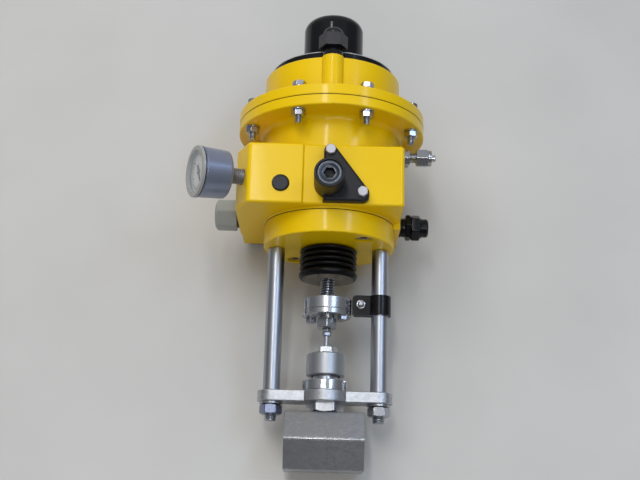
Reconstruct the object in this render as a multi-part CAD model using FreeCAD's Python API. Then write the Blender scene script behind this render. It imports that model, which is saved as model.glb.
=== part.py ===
import FreeCAD, Part
import math
import os

# Pneumatic control valve: a bar-stock globe valve under a spring-and-diaphragm actuator.
# Two pillars and a yoke bar join them. Z runs up the stem, X along the pipe, and -Y is the front.
# The origin is the middle of the body's base. All lengths are in millimetres.

V = FreeCAD.Vector
X_AXIS = V(1, 0, 0)
Y_AXIS = V(0, 1, 0)
Z_AXIS = V(0, 0, 1)

# Fits
FIT_GAP = 0.05          # radial gap where one piece sits in another
RUNNING_GAP = 0.06      # radial gap of a sliding or turning fit
SEAT_GAP = 0.1          # between the closed plug and its seat
MOVING_GAP = 0.7        # beside a moving piece that nothing guides

# Travel
STROKE = 14.0

# Valve body: a hexagonal bar lying along the pipe
BODY_AF = 46.0
BODY_LENGTH = 64.0
BODY_END_CHAMFER = 0.8
PORT_RADIUS = 9.3
PORT_DEPTH = 16.0
BONNET_BORE_RADIUS = 11.0
BONNET_BORE_DEPTH = 12.0
CHAMBER_RADIUS = 8.5
CHAMBER_DEPTH = 11.5
SEAT_BORE_RADIUS = 7.0
SEAT_HEIGHT = 5.5
SEAT_ORIFICE_RADIUS = 3.0
LOWER_CHAMBER_RADIUS = 4.2
LOWER_CHAMBER_FLOOR = 5.0
PASSAGE_RADIUS = 3.2
OUTLET_PASSAGE_RADIUS = 4.5

# Plug and valve stem
PLUG_RADIUS = 4.5
PLUG_NOSE_RADIUS = 1.5
PLUG_NOSE_LENGTH = 4.5
PLUG_LENGTH = 9.0
STEM_RADIUS = 2.0

# Bonnet
BONNET_AF = 27.0
BONNET_HEX_HEIGHT = 8.0
BONNET_THREAD_RADIUS = 12.0
BONNET_NECK_RADIUS = 10.25
BONNET_NECK_SHOWING = 3.4
BONNET_THREAD_ENGAGEMENT = 12.4
PACKING_BORE_RADIUS = 5.0

# Yoke bar, its slotted nut and the pillars
BAR_HEIGHT = 9.0
BAR_END_RADIUS = 11.2
BAR_BOSS_RADIUS = 20.2
BAR_EDGE_ROUND = 0.8
SLOTTED_NUT_RADIUS = 19.0
SLOTTED_NUT_HEIGHT = 8.6
SLOTTED_NUT_SLOTS = 6
SLOTTED_NUT_TURN = -95.4
SLOTTED_NUT_SLOT_WIDTH = 4.0
SLOTTED_NUT_SLOT_DEPTH = 2.2
PILLAR_SPACING = 87.0
PILLAR_RADIUS = 7.0
PILLAR_LENGTH = 120.0
PILLAR_CHAMFER = 0.6
STUD_RADIUS = 5.0
STUD_BELOW_NUT = 5.0
STUD_IN_FLANGE = 14.0
YOKE_NUT_AF = 16.0
YOKE_NUT_HEIGHT = 8.0
YOKE_WASHER_RADIUS = 9.5
YOKE_WASHER_THICKNESS = 2.0

# Packing
PACKING_NUT_RADIUS = 15.85
PACKING_NUT_HEIGHT = 18.1
PACKING_NUT_CHAMFER = 0.8
PACKING_NUT_HOLE_RADIUS = 6.1
GLAND_AF = 17.0
GLAND_HEX_HEIGHT = 6.0
GLAND_NOSE_LENGTH = 5.0
PACKING_RING_COUNT = 4
PACKING_RING_HEIGHT = 2.6

# Stem train between the gland and the spindle
STEM_SHOWING = 9.4
JAM_NUT_AF = 7.0
JAM_NUT_HEIGHT = 3.0
JAM_NUT_COUNT = 2
ADAPTER_AF = 16.0
ADAPTER_HEX_HEIGHT = 8.2
ADAPTER_COLLAR_RADIUS = 7.6
ADAPTER_COLLAR_HEIGHT = 1.5
ADAPTER_SPIGOT_RADIUS = 6.0
ADAPTER_SPIGOT_HEIGHT = 3.6
COUPLING_RADIUS = 20.2
COUPLING_LOWER_HEIGHT = 4.6
COUPLING_UPPER_HEIGHT = 9.9
COUPLING_CHAMFER = 0.5
COUPLING_SLOT_WIDTH = 3.0
COUPLING_SLOT_DEPTH = 2.0
COUPLING_BOLT_CIRCLE = 14.6
COUPLING_BOLT_ANGLE = -28.0
COUPLING_BOLT_RADIUS = 2.5
COUPLING_BOLT_AF = 8.0
COUPLING_BOLT_HEAD = 3.5
COUPLING_BOLT_LENGTH = 11.0
SPINDLE_RADIUS = 6.0
SPINDLE_GRIP = 8.0

# Indicator clamp on the right pillar
CLAMP_HEIGHT = 16.5
CLAMP_WALL = 2.3
CLAMP_EAR_THICKNESS = 4.0
CLAMP_SLIT = 1.6
CLAMP_ROUND = 3.0
CLAMP_SCREW_RADIUS = 2.0
CLAMP_SCREW_REACH = 15.7
CLAMP_NUT_AF = 7.0
CLAMP_NUT_HEIGHT = 3.2
CLAMP_SCREW_HEAD_RADIUS = 3.5

# Bellows and bottom flange
BELLOWS_RADIUS = 24.0
BELLOWS_ROOT_RADIUS = 20.2
BELLOWS_LENGTH = 25.5
BELLOWS_FOLDS = 5
BELLOWS_WALL = 1.2
BELLOWS_COLLAR = 4.0
SPIGOT_RADIUS = 17.5
SPIGOT_HEIGHT = 4.5
FLANGE_RADIUS = 54.7
FLANGE_HEIGHT = 19.0
FLANGE_EDGE_ROUND = 1.2
FLANGE_SCREW_CIRCLE = 43.5
FLANGE_SCREW_ANGLES = (-50.0, 130.0)
FLANGE_SCREW_RADIUS = 4.0
FLANGE_SCREW_HEAD_RADIUS = 6.5
FLANGE_SCREW_HEAD = 8.0
FLANGE_SCREW_SOCKET_AF = 6.0
FLANGE_SCREW_LENGTH = 16.0
COUNTERBORE_RADIUS = 7.6
COUNTERBORE_DEPTH = 9.5
BUSH_RADIUS = 9.0
BUSH_LENGTH = 13.0
SEAL_HEIGHT = 4.0

# Lower casing with the positioner housing
RIM_HEIGHT = 2.0
RIM_PROUD = 0.6
RIM_CHAMFER = 0.7
HOUSING_HEIGHT = 51.0
HOUSING_FRONT_PROUD = 0.6
HOUSING_LEFT_PROUD = 18.8
HOUSING_RIGHT_PROUD = 0.9
HOUSING_REAR_PROUD = 0.2
HOUSING_ROUND = 2.0
HOUSING_EDGE_ROUND = 3.5
HOUSING_CORNER_ROUND = 6.0
PANEL_CORNER_ROUND = 4.0
PANEL_PROUD = 1.5
PANEL_RIGHT = 23.1
GAUGE_ANGLE = 26.0
GAUGE_DROOP = 3.5
FACET_WIDTH = 24.4
REAR_STEP_START = 31.0
REAR_STEP = 1.8
GLAND_PAD_DROP = 5.4
GLAND_PAD_FRONT = -13.0
GLAND_PAD_REAR = 44.0
GLAND_PAD_WIDTH = 16.0
GLAND_PAD_GAP = 0.3
CASING_RADIUS = 58.4
CASING_WALL = 5.4
CASING_NECK = 26.6
CASING_FILLET = 4.5
CHAMBER_FLOOR_ABOVE_HOUSING = 5.0
SPINDLE_CASING_GAP = 0.5
POCKET_WALL = 6.0
POCKET_FRONT = 16.0

# Flanged joint between the casings
JOINT_FLANGE_WIDTH = 21.2
LOWER_FLANGE_THICKNESS = 8.0
UPPER_FLANGE_THICKNESS = 8.6
JOINT_EDGE_ROUND = 1.2
JOINT_BOLT_COUNT = 8
JOINT_BOLT_OFFSET = 13.6
JOINT_BOLT_RADIUS = 3.0
JOINT_HOLE_RADIUS = 3.3
JOINT_BOLT_AF = 10.0
JOINT_BOLT_HEAD = 4.2
JOINT_BOLT_END = 5.8
JOINT_NUT_HEIGHT = 4.8
JOINT_WASHER_RADIUS = 6.0
JOINT_WASHER_THICKNESS = 1.5

# Diaphragm and spring
DIAPHRAGM_THICKNESS = 1.8
DIAPHRAGM_EDGE_INSET = 0.5
DIAPHRAGM_SAG = 7.0
PLATE_RADIUS = 43.5
PLATE_THICKNESS = 3.0
PLATE_RIM_HEIGHT = 5.0
PLATE_RIM_WALL = 2.5
PLATE_HUB_RADIUS = 13.0
PLATE_HUB_HEIGHT = 3.0
SPINDLE_COLLAR_RADIUS = 12.0
SPINDLE_COLLAR_HEIGHT = 2.5
SPINDLE_NUT_AF = 18.0
SPINDLE_NUT_HEIGHT = 7.0
SPINDLE_OVER_NUT = 2.5
SPRING_RADIUS = 33.0
SPRING_WIRE_RADIUS = 2.4
SPRING_TURNS = 4

# Upper casing, top plate and cap
UPPER_HEIGHT = 33.3
UPPER_ROOF = 5.0
VENT_BOSS_RADIUS = 9.3
VENT_BOSS_X = -0.7
VENT_BOSS_INSET = 3.2
VENT_BORE_RADIUS = 5.0
VENT_BORE_DEPTH = 14.0
VENT_CONE_HEIGHT = 8.0
VENT_CONE_TOP_RADIUS = 7.6
VENT_HEX_AF = 21.0
VENT_HEX_HEIGHT = 11.5
VENT_DOME_RADIUS = 8.4
VENT_DOME_HEIGHT = 7.0
TOP_PLATE_RADIUS = 53.0
TOP_PLATE_THICKNESS = 7.2
TOP_PLATE_CHAMFER = 0.8
TOP_PLATE_SPIGOT_HEIGHT = 8.0
CAP_RADIUS = 26.0
CAP_HEIGHT = 52.5
CAP_WALL = 2.6
CAP_ROUND = 10.0
STOP_SCREW_RADIUS = 5.0
STOP_SCREW_OVER_NUT = 14.0
STOP_NUT_AF = 17.0
STOP_NUT_HEIGHT = 8.0
STOP_GAP = 0.4

# Gauge on the slanted facet of the housing
GAUGE_HEIGHT = 24.4
GAUGE_SOCKET_RADIUS = 6.5
GAUGE_SOCKET_DEPTH = 9.0
GAUGE_SOCKET_SHOWING = 14.2
GAUGE_CASE_RADIUS = 20.6
GAUGE_CASE_REAR_RADIUS = 19.3
GAUGE_CASE_LENGTH = 24.2
GAUGE_CASE_WALL = 1.6
GAUGE_CASE_ROUND = 2.0
GAUGE_CASE_HUB_RADIUS = 8.6
GAUGE_CASE_HUB = 2.2
GAUGE_DIAL_DEPTH = 5.0
GAUGE_DIAL_THICKNESS = 1.0
GAUGE_WINDOW_RADIUS = 21.0
GAUGE_WINDOW_LENGTH = 2.4
GAUGE_WINDOW_THICKNESS = 1.4
GAUGE_WINDOW_RIM = 5.3
GAUGE_POINTER_LENGTH = 13.0
GAUGE_POINTER_TAIL = 5.0
GAUGE_POINTER_THICKNESS = 0.6
GAUGE_HUB_RADIUS = 2.2
GAUGE_PIN_RADIUS = 0.8
GAUGE_POINTER_LIFT = 0.8

# Grey gland on the left wall
LEFT_GLAND_Y = 18.0
LEFT_GLAND_HEIGHT = 13.0
LEFT_GLAND_SEAL_RADIUS = 10.6
LEFT_GLAND_SEAL = 1.6
LEFT_GLAND_NECK_RADIUS = 9.6
LEFT_GLAND_NECK = 0.6
LEFT_GLAND_AF = 24.0
LEFT_GLAND_HEX = 16.2
LEFT_GLAND_NOSE = 2.4
GLAND_THREAD_RADIUS = 7.4
GLAND_THREAD_DEPTH = 5.5

# Black gland on the right wall
RIGHT_GLAND_Y = 20.0
RIGHT_GLAND_HEIGHT = 6.6
RIGHT_GLAND_NECK = 6.4
RIGHT_GLAND_AF = 20.0
RIGHT_GLAND_HEX = 4.6
RIGHT_GLAND_NUT = 8.2
RIGHT_GLAND_NOSE_RADIUS = 8.0
RIGHT_GLAND_NOSE = 7.0

# Tube fitting on the right wall
TUBE_Y = -22.0
TUBE_ABOVE_HOUSING = 4.2
TUBE_BOSS_RADIUS = 10.0
TUBE_BOSS_LENGTH = 26.0
TUBE_BODY_AF = 12.0
TUBE_BODY_HEX = 7.0
TUBE_NECK_RADIUS = 4.5
TUBE_NECK = 5.0
TUBE_NUT_AF = 14.0
TUBE_HEX_TURN = 47.0
TUBE_NUT_COLLAR = 3.2
TUBE_NUT_COLLAR_RADIUS = 6.7
TUBE_NUT_LENGTH = 13.4
TUBE_RADIUS = 3.0
TUBE_STUB = 3.0
TUBE_THREAD_RADIUS = 5.0
TUBE_THREAD_DEPTH = 9.0

# Front plug
PLUG_COVER_X = -40.1
PLUG_COVER_HEIGHT = 16.5
PLUG_COVER_RADIUS = 7.0
PLUG_COVER_PROUD = 1.4
PLUG_COVER_SHANK_RADIUS = 5.8
PLUG_COVER_SHANK = 6.0

# Adjuster bracket and screw
ADJUSTER_X = -1.2
ADJUSTER_HEIGHT = 16.9
BRACKET_THICKNESS = 7.0
BRACKET_BOSS_RADIUS = 12.2
BRACKET_BOSS_LENGTH = 29.0
BRACKET_LOBE_RADIUS = 5.4
BRACKET_TOP_SCREW = (-0.6, 43.6)
BRACKET_SIDE_SCREW = (25.4, 8.6)
BRACKET_BOTTOM = 1.1
BRACKET_EDGE_ROUND = 2.4
ADJUSTER_BOSS_ROUND = 0.8
BRACKET_SCREW_RADIUS = 2.5
BRACKET_SCREW_AF = 7.6
BRACKET_SCREW_HEAD = 3.4
BRACKET_SCREW_GRIP = 8.0
ADJUSTER_HEAD_RADIUS = 10.3
ADJUSTER_HEAD = 9.0
ADJUSTER_HEAD_SUNK = 0.8
ADJUSTER_DISH_RADIUS = 7.6
ADJUSTER_DISH_DEPTH = 1.2
ADJUSTER_SOCKET_AF = 8.4
ADJUSTER_SOCKET_DEPTH = 7.5
ADJUSTER_SHANK_RADIUS = 5.0
ADJUSTER_SHANK_GRIP = 9.0

# Rear cover
COVER_THICKNESS = 7.6
COVER_INSET = 1.6
COVER_ROUND = 5.0
COVER_EDGE_ROUND = 1.5
COVER_SCREW_RADIUS = 2.0
COVER_SCREW_HEAD_RADIUS = 3.5
COVER_SCREW_HEAD = 2.4
COVER_SCREW_INSET = 6.5
COVER_SCREW_GRIP = 9.0
MODULE_GAP = 0.3
MODULE_HEIGHT = 30.0
MODULE_DEPTH = 30.0
MODULE_WIDTH = 70.0

# Levels up the stem
BODY_TOP = BODY_AF
PIPE_LEVEL = BODY_AF / 2
BONNET_FOOT = BODY_TOP - BONNET_BORE_DEPTH
CHAMBER_BOTTOM = BONNET_FOOT - CHAMBER_DEPTH
SEAT_BOTTOM = CHAMBER_BOTTOM - SEAT_HEIGHT
BAR_BOTTOM = BODY_TOP + BONNET_HEX_HEIGHT
BAR_TOP = BAR_BOTTOM + BAR_HEIGHT
SLOTTED_NUT_TOP = BAR_TOP + SLOTTED_NUT_HEIGHT
BONNET_SHOULDER = SLOTTED_NUT_TOP + 0.8
PACKING_NUT_BOTTOM = BONNET_SHOULDER + BONNET_NECK_SHOWING
PACKING_NUT_TOP = PACKING_NUT_BOTTOM + PACKING_NUT_HEIGHT
BONNET_TOP = PACKING_NUT_BOTTOM + BONNET_THREAD_ENGAGEMENT
PACKING_BORE_DEPTH = GLAND_NOSE_LENGTH + PACKING_RING_COUNT * PACKING_RING_HEIGHT
PACKING_BOTTOM = BONNET_TOP - PACKING_BORE_DEPTH
GLAND_TOP = PACKING_NUT_TOP + GLAND_HEX_HEIGHT
JAM_NUT_BOTTOM = GLAND_TOP + STEM_SHOWING
ADAPTER_BOTTOM = JAM_NUT_BOTTOM + JAM_NUT_COUNT * JAM_NUT_HEIGHT
COUPLING_BOTTOM = ADAPTER_BOTTOM + ADAPTER_HEX_HEIGHT + ADAPTER_COLLAR_HEIGHT
COUPLING_SPLIT = COUPLING_BOTTOM + COUPLING_LOWER_HEIGHT
COUPLING_TOP = COUPLING_SPLIT + COUPLING_UPPER_HEIGHT
FLANGE_BOTTOM = BAR_TOP + PILLAR_LENGTH
FLANGE_TOP = FLANGE_BOTTOM + FLANGE_HEIGHT
BELLOWS_BOTTOM = FLANGE_BOTTOM - BELLOWS_LENGTH
HOUSING_BOTTOM = FLANGE_TOP + RIM_HEIGHT
HOUSING_TOP = HOUSING_BOTTOM + HOUSING_HEIGHT
CHAMBER_FLOOR = HOUSING_TOP + CHAMBER_FLOOR_ABOVE_HOUSING
JOINT_UNDERSIDE = HOUSING_TOP + CASING_NECK
JOINT_LOWER_FACE = JOINT_UNDERSIDE + LOWER_FLANGE_THICKNESS
JOINT_UPPER_FACE = JOINT_LOWER_FACE + DIAPHRAGM_THICKNESS
JOINT_TOP = JOINT_UPPER_FACE + UPPER_FLANGE_THICKNESS
PLATE_BOTTOM = JOINT_UPPER_FACE - DIAPHRAGM_SAG
PLATE_TOP = PLATE_BOTTOM + PLATE_THICKNESS
SPINDLE_NUT_BOTTOM = PLATE_TOP + PLATE_HUB_HEIGHT
SPINDLE_TOP = SPINDLE_NUT_BOTTOM + SPINDLE_NUT_HEIGHT + SPINDLE_OVER_NUT
UPPER_TOP = JOINT_TOP + UPPER_HEIGHT
ROOF_UNDERSIDE = UPPER_TOP - UPPER_ROOF
TOP_PLATE_TOP = UPPER_TOP + TOP_PLATE_THICKNESS
CAP_TOP = TOP_PLATE_TOP + CAP_HEIGHT

# Places around the casings
HOUSING_FRONT = CASING_RADIUS + HOUSING_FRONT_PROUD
HOUSING_RIGHT = CASING_RADIUS + HOUSING_RIGHT_PROUD
HOUSING_REAR = CASING_RADIUS + HOUSING_REAR_PROUD
HOUSING_LEFT = CASING_RADIUS + HOUSING_LEFT_PROUD
JOINT_RADIUS = CASING_RADIUS + JOINT_FLANGE_WIDTH
JOINT_BOLT_CIRCLE = CASING_RADIUS + JOINT_BOLT_OFFSET
VENT_BOSS_Y = VENT_BOSS_INSET - CASING_RADIUS
TUBE_LEVEL = HOUSING_TOP + TUBE_ABOVE_HOUSING

# Places on the housing
PANEL_FRONT = HOUSING_FRONT + PANEL_PROUD
FACET_X = FACET_WIDTH * math.sin(math.radians(GAUGE_ANGLE))
FACET_Y = FACET_WIDTH * math.cos(math.radians(GAUGE_ANGLE))
GAUGE_AXIS = V(
    -math.cos(math.radians(GAUGE_ANGLE)) * math.cos(math.radians(GAUGE_DROOP)),
    -math.sin(math.radians(GAUGE_ANGLE)) * math.cos(math.radians(GAUGE_DROOP)),
    -math.sin(math.radians(GAUGE_DROOP)),
)
GAUGE_BASE = V(-HOUSING_LEFT + FACET_X / 2, -PANEL_FRONT + FACET_Y / 2, HOUSING_BOTTOM + GAUGE_HEIGHT)
COVER_LEFT = -HOUSING_LEFT + REAR_STEP + COVER_INSET
COVER_RIGHT = HOUSING_RIGHT - COVER_INSET
COVER_BOTTOM = HOUSING_BOTTOM + COVER_INSET
COVER_HEIGHT = HOUSING_HEIGHT - 2 * COVER_INSET
CASING_BORE = CASING_RADIUS - CASING_WALL
PILLARS = (-PILLAR_SPACING / 2, PILLAR_SPACING / 2)


def rod(radius, length, base=V(0, 0, 0), axis=Z_AXIS):
    """A plain cylinder that starts at base and runs along axis."""
    return Part.makeCylinder(radius, length, base, axis)


def tube(outer, inner, length, base=V(0, 0, 0), axis=Z_AXIS):
    """A plain ring or tube."""
    return rod(outer, length, base, axis).cut(rod(inner, length, base, axis))


def turned(points, base=V(0, 0, 0), axis=Z_AXIS):
    """A solid turned from (radius, height) points, then set on base along axis."""
    wire = Part.makePolygon([V(r, 0, z) for r, z in points + points[:1]])
    solid = Part.Face(wire).revolve(V(0, 0, 0), Z_AXIS, 360)
    solid.Placement = FreeCAD.Placement(base, FreeCAD.Rotation(Z_AXIS, axis))
    return solid


def hexagon(across_flats, length, base=V(0, 0, 0), axis=Z_AXIS, turn=0.0):
    """A hexagonal prism. With no turn, its first corner lies on the local X axis."""
    radius = across_flats / math.sqrt(3)
    corners = [
        V(radius * math.cos(math.radians(turn + 60 * i)), radius * math.sin(math.radians(turn + 60 * i)), 0)
        for i in range(7)
    ]
    solid = Part.Face(Part.makePolygon(corners)).extrude(V(0, 0, length))
    solid.Placement = FreeCAD.Placement(base, FreeCAD.Rotation(Z_AXIS, axis))
    return solid


def block(low, high):
    """A box between two corners."""
    return Part.makeBox(high[0] - low[0], high[1] - low[1], high[2] - low[2], V(*low))


def rounded(shape, radius, wanted):
    """The shape with the edges that wanted(edge) picks rounded."""
    edges = [edge for edge in shape.Edges if wanted(edge)]
    return shape.makeFillet(radius, edges) if edges else shape


def chamfered(shape, size, wanted):
    """The shape with the edges that wanted(edge) picks chamfered."""
    edges = [edge for edge in shape.Edges if wanted(edge)]
    return shape.makeChamfer(size, edges) if edges else shape


def is_circle(edge, radius, level=None):
    """Whether an edge is a circle of this radius about a vertical axis, at this level if one is given."""
    if not isinstance(edge.Curve, Part.Circle) or abs(edge.Curve.Radius - radius) > 1e-4:
        return False
    return level is None or abs(edge.Curve.Center.z - level) < 1e-4


def spans(edge, axis, level):
    """Whether an edge lies wholly at one level along an axis (0, 1 or 2)."""
    box = edge.BoundBox
    low = (box.XMin, box.YMin, box.ZMin)[axis]
    high = (box.XMax, box.YMax, box.ZMax)[axis]
    return abs(low - level) < 1e-3 and abs(high - level) < 1e-3


def on_circle(radius, angle, z=0.0):
    """A point on a circle about the stem, at an angle in degrees from +X."""
    return V(radius * math.cos(math.radians(angle)), radius * math.sin(math.radians(angle)), z)


def joint_angles():
    """The angles of the flange bolts, half a step off the front."""
    step = 360.0 / JOINT_BOLT_COUNT
    return [step * (i + 0.5) for i in range(JOINT_BOLT_COUNT)]


def coil(radius, wire_radius, bottom, top, turns):
    """A coil spring between two level faces. Its wire has eight flats, which keeps the solid light."""
    rise = top - bottom - 2 * wire_radius
    path = Part.makeHelix(rise / turns, rise, radius)
    path.translate(V(0, 0, bottom + wire_radius))
    corners = []
    for i in range(9):
        angle = math.radians(45 * i)
        across = radius + wire_radius * math.cos(angle)
        corners.append(V(across, 0, bottom + wire_radius + wire_radius * math.sin(angle)))
    return Part.Wire(path.Edges).makePipeShell([Part.makePolygon(corners)], True, True)


def nut(across_flats, height, hole_radius, base, axis=Z_AXIS, turn=0.0):
    """A hexagonal nut with a plain hole."""
    return hexagon(across_flats, height, base, axis, turn).cut(rod(hole_radius, height, base, axis))


def valve_body():
    """Hexagonal bar with a port at each end, joined over the seat by drilled passages."""
    half = BODY_LENGTH / 2
    corner = BODY_AF / math.sqrt(3)
    bar = hexagon(BODY_AF, BODY_LENGTH, V(-half, 0, PIPE_LEVEL), X_AXIS, 30)
    blank = turned(
        [
            (0, 0),
            (corner - BODY_END_CHAMFER, 0),
            (corner + 0.1, BODY_END_CHAMFER),
            (corner + 0.1, BODY_LENGTH - BODY_END_CHAMFER),
            (corner - BODY_END_CHAMFER, BODY_LENGTH),
            (0, BODY_LENGTH),
        ],
        V(-half, 0, PIPE_LEVEL),
        X_AXIS,
    )
    body = bar.common(blank)
    port_floor = half - PORT_DEPTH
    for side in (-1, 1):
        mouth = V(side * half, 0, PIPE_LEVEL)
        inward = V(-side, 0, 0)
        body = body.cut(rod(PORT_RADIUS, PORT_DEPTH, mouth, inward))
    body = body.cut(rod(BONNET_BORE_RADIUS, BONNET_BORE_DEPTH, V(0, 0, BONNET_FOOT)))
    body = body.cut(rod(CHAMBER_RADIUS, CHAMBER_DEPTH, V(0, 0, CHAMBER_BOTTOM)))
    body = body.cut(rod(SEAT_BORE_RADIUS, SEAT_HEIGHT, V(0, 0, SEAT_BOTTOM)))
    lower_depth = SEAT_BOTTOM - LOWER_CHAMBER_FLOOR
    body = body.cut(rod(LOWER_CHAMBER_RADIUS, lower_depth, V(0, 0, LOWER_CHAMBER_FLOOR)))
    start = V(-port_floor - PASSAGE_RADIUS / 2, 0, PIPE_LEVEL - PORT_RADIUS + PASSAGE_RADIUS + 0.6)
    end = V(0, 0, LOWER_CHAMBER_FLOOR + PASSAGE_RADIUS + 0.8)
    body = body.cut(rod(PASSAGE_RADIUS, end.sub(start).Length, start, end.sub(start)))
    outlet_level = CHAMBER_BOTTOM + OUTLET_PASSAGE_RADIUS + 0.4
    return body.cut(rod(OUTLET_PASSAGE_RADIUS, port_floor + 1, V(0, 0, outlet_level), X_AXIS))


def seat_ring():
    """Seat screwed in under the chamber."""
    return tube(SEAT_BORE_RADIUS - FIT_GAP, SEAT_ORIFICE_RADIUS, SEAT_HEIGHT, V(0, 0, SEAT_BOTTOM))


def valve_stem():
    """Thin stem with the contoured plug at its foot, the plug's shoulder just clear of the seat."""
    shoulder = CHAMBER_BOTTOM + SEAT_GAP
    plug_top = shoulder + PLUG_LENGTH
    top = COUPLING_BOTTOM + ADAPTER_SPIGOT_HEIGHT
    return turned(
        [
            (0, shoulder - PLUG_NOSE_LENGTH),
            (PLUG_NOSE_RADIUS, shoulder - PLUG_NOSE_LENGTH),
            (SEAT_ORIFICE_RADIUS - SEAT_GAP, shoulder),
            (PLUG_RADIUS, shoulder + 0.8),
            (PLUG_RADIUS, plug_top - 1.5),
            (STEM_RADIUS, plug_top),
            (STEM_RADIUS, top - 0.4),
            (STEM_RADIUS - 0.4, top),
            (0, top),
        ]
    )


def bonnet():
    """Bonnet: thread in the body, hexagon, thread through the bar, neck with the packing box."""
    thread = BONNET_BORE_RADIUS - FIT_GAP
    shell = turned(
        [
            (0, BONNET_FOOT),
            (thread, BONNET_FOOT),
            (thread, BODY_TOP + 1),
            (BONNET_THREAD_RADIUS, BODY_TOP + 1),
            (BONNET_THREAD_RADIUS, BONNET_SHOULDER - 0.6),
            (BONNET_THREAD_RADIUS - 0.6, BONNET_SHOULDER),
            (BONNET_NECK_RADIUS, BONNET_SHOULDER),
            (BONNET_NECK_RADIUS, BONNET_TOP - 0.6),
            (BONNET_NECK_RADIUS - 0.6, BONNET_TOP),
            (0, BONNET_TOP),
        ]
    ).fuse(hexagon(BONNET_AF, BONNET_HEX_HEIGHT, V(0, 0, BODY_TOP)))
    plug_room = CHAMBER_BOTTOM + PLUG_LENGTH + STROKE + 1.5 - BONNET_FOOT
    shell = shell.cut(rod(PLUG_RADIUS + MOVING_GAP, plug_room, V(0, 0, BONNET_FOOT)))
    shell = shell.cut(rod(STEM_RADIUS + RUNNING_GAP, BONNET_TOP - BONNET_FOOT, V(0, 0, BONNET_FOOT)))
    return shell.cut(rod(PACKING_BORE_RADIUS, PACKING_BORE_DEPTH, V(0, 0, PACKING_BOTTOM))).removeSplitter()


def packing_nut():
    """Large plain nut over the packing box."""
    c = PACKING_NUT_CHAMFER
    solid = turned(
        [
            (BONNET_NECK_RADIUS + FIT_GAP, PACKING_NUT_BOTTOM),
            (PACKING_NUT_RADIUS - c, PACKING_NUT_BOTTOM),
            (PACKING_NUT_RADIUS, PACKING_NUT_BOTTOM + c),
            (PACKING_NUT_RADIUS, PACKING_NUT_TOP - c),
            (PACKING_NUT_RADIUS - c, PACKING_NUT_TOP),
            (PACKING_NUT_HOLE_RADIUS, PACKING_NUT_TOP),
            (PACKING_NUT_HOLE_RADIUS, BONNET_TOP),
            (BONNET_NECK_RADIUS + FIT_GAP, BONNET_TOP),
        ]
    )
    return solid


def gland_screw():
    """Hexagon screw whose nose presses the packing."""
    nose = PACKING_BORE_RADIUS - FIT_GAP
    shank = PACKING_NUT_HOLE_RADIUS - FIT_GAP
    solid = turned(
        [
            (0, BONNET_TOP - GLAND_NOSE_LENGTH),
            (nose, BONNET_TOP - GLAND_NOSE_LENGTH),
            (nose, BONNET_TOP + 0.2),
            (shank, BONNET_TOP + 0.2),
            (shank, PACKING_NUT_TOP),
            (0, PACKING_NUT_TOP),
        ]
    )
    head = hexagon(GLAND_AF, GLAND_HEX_HEIGHT, V(0, 0, PACKING_NUT_TOP))
    solid = solid.fuse(head)
    return solid.cut(rod(STEM_RADIUS + RUNNING_GAP, GLAND_TOP, V(0, 0, 0))).removeSplitter()


def packing_rings():
    """Stack of soft rings round the stem, under the gland screw's nose."""
    top = BONNET_TOP - GLAND_NOSE_LENGTH
    rings = []
    for i in range(PACKING_RING_COUNT):
        level = top - (i + 1) * PACKING_RING_HEIGHT
        outer = PACKING_BORE_RADIUS - FIT_GAP
        inner = STEM_RADIUS + RUNNING_GAP
        rings.append(tube(outer, inner, PACKING_RING_HEIGHT - FIT_GAP, V(0, 0, level)))
    return Part.makeCompound(rings)


def yoke_bar():
    """Cross bar with a round middle boss and rounded ends."""
    bar = rod(BAR_BOSS_RADIUS, BAR_HEIGHT, V(0, 0, BAR_BOTTOM))
    for x in PILLARS:
        bar = bar.fuse(rod(BAR_END_RADIUS, BAR_HEIGHT, V(x, 0, BAR_BOTTOM)))
    reach = PILLAR_SPACING / 2
    arm = BAR_END_RADIUS
    bar = bar.fuse(block((-reach, -arm, BAR_BOTTOM), (reach, arm, BAR_TOP))).removeSplitter()
    bar = rounded(bar, BAR_EDGE_ROUND, lambda e: spans(e, 2, BAR_TOP) or spans(e, 2, BAR_BOTTOM))
    bar = bar.cut(rod(BONNET_THREAD_RADIUS + FIT_GAP, BAR_HEIGHT, V(0, 0, BAR_BOTTOM)))
    for x in PILLARS:
        bar = bar.cut(rod(STUD_RADIUS + FIT_GAP, BAR_HEIGHT, V(x, 0, BAR_BOTTOM)))
    return bar


def slotted_nut():
    """Round nut with slots for a hook spanner."""
    ring = tube(SLOTTED_NUT_RADIUS, BONNET_THREAD_RADIUS + FIT_GAP, SLOTTED_NUT_HEIGHT, V(0, 0, BAR_TOP))
    ring = chamfered(ring, 0.5, lambda e: is_circle(e, SLOTTED_NUT_RADIUS))
    for i in range(SLOTTED_NUT_SLOTS):
        slot = block(
            (SLOTTED_NUT_RADIUS - SLOTTED_NUT_SLOT_DEPTH, -SLOTTED_NUT_SLOT_WIDTH / 2, BAR_TOP),
            (SLOTTED_NUT_RADIUS + 1, SLOTTED_NUT_SLOT_WIDTH / 2, SLOTTED_NUT_TOP),
        )
        slot.rotate(V(0, 0, 0), Z_AXIS, SLOTTED_NUT_TURN + 360.0 * i / SLOTTED_NUT_SLOTS)
        ring = ring.cut(slot)
    return ring


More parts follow.
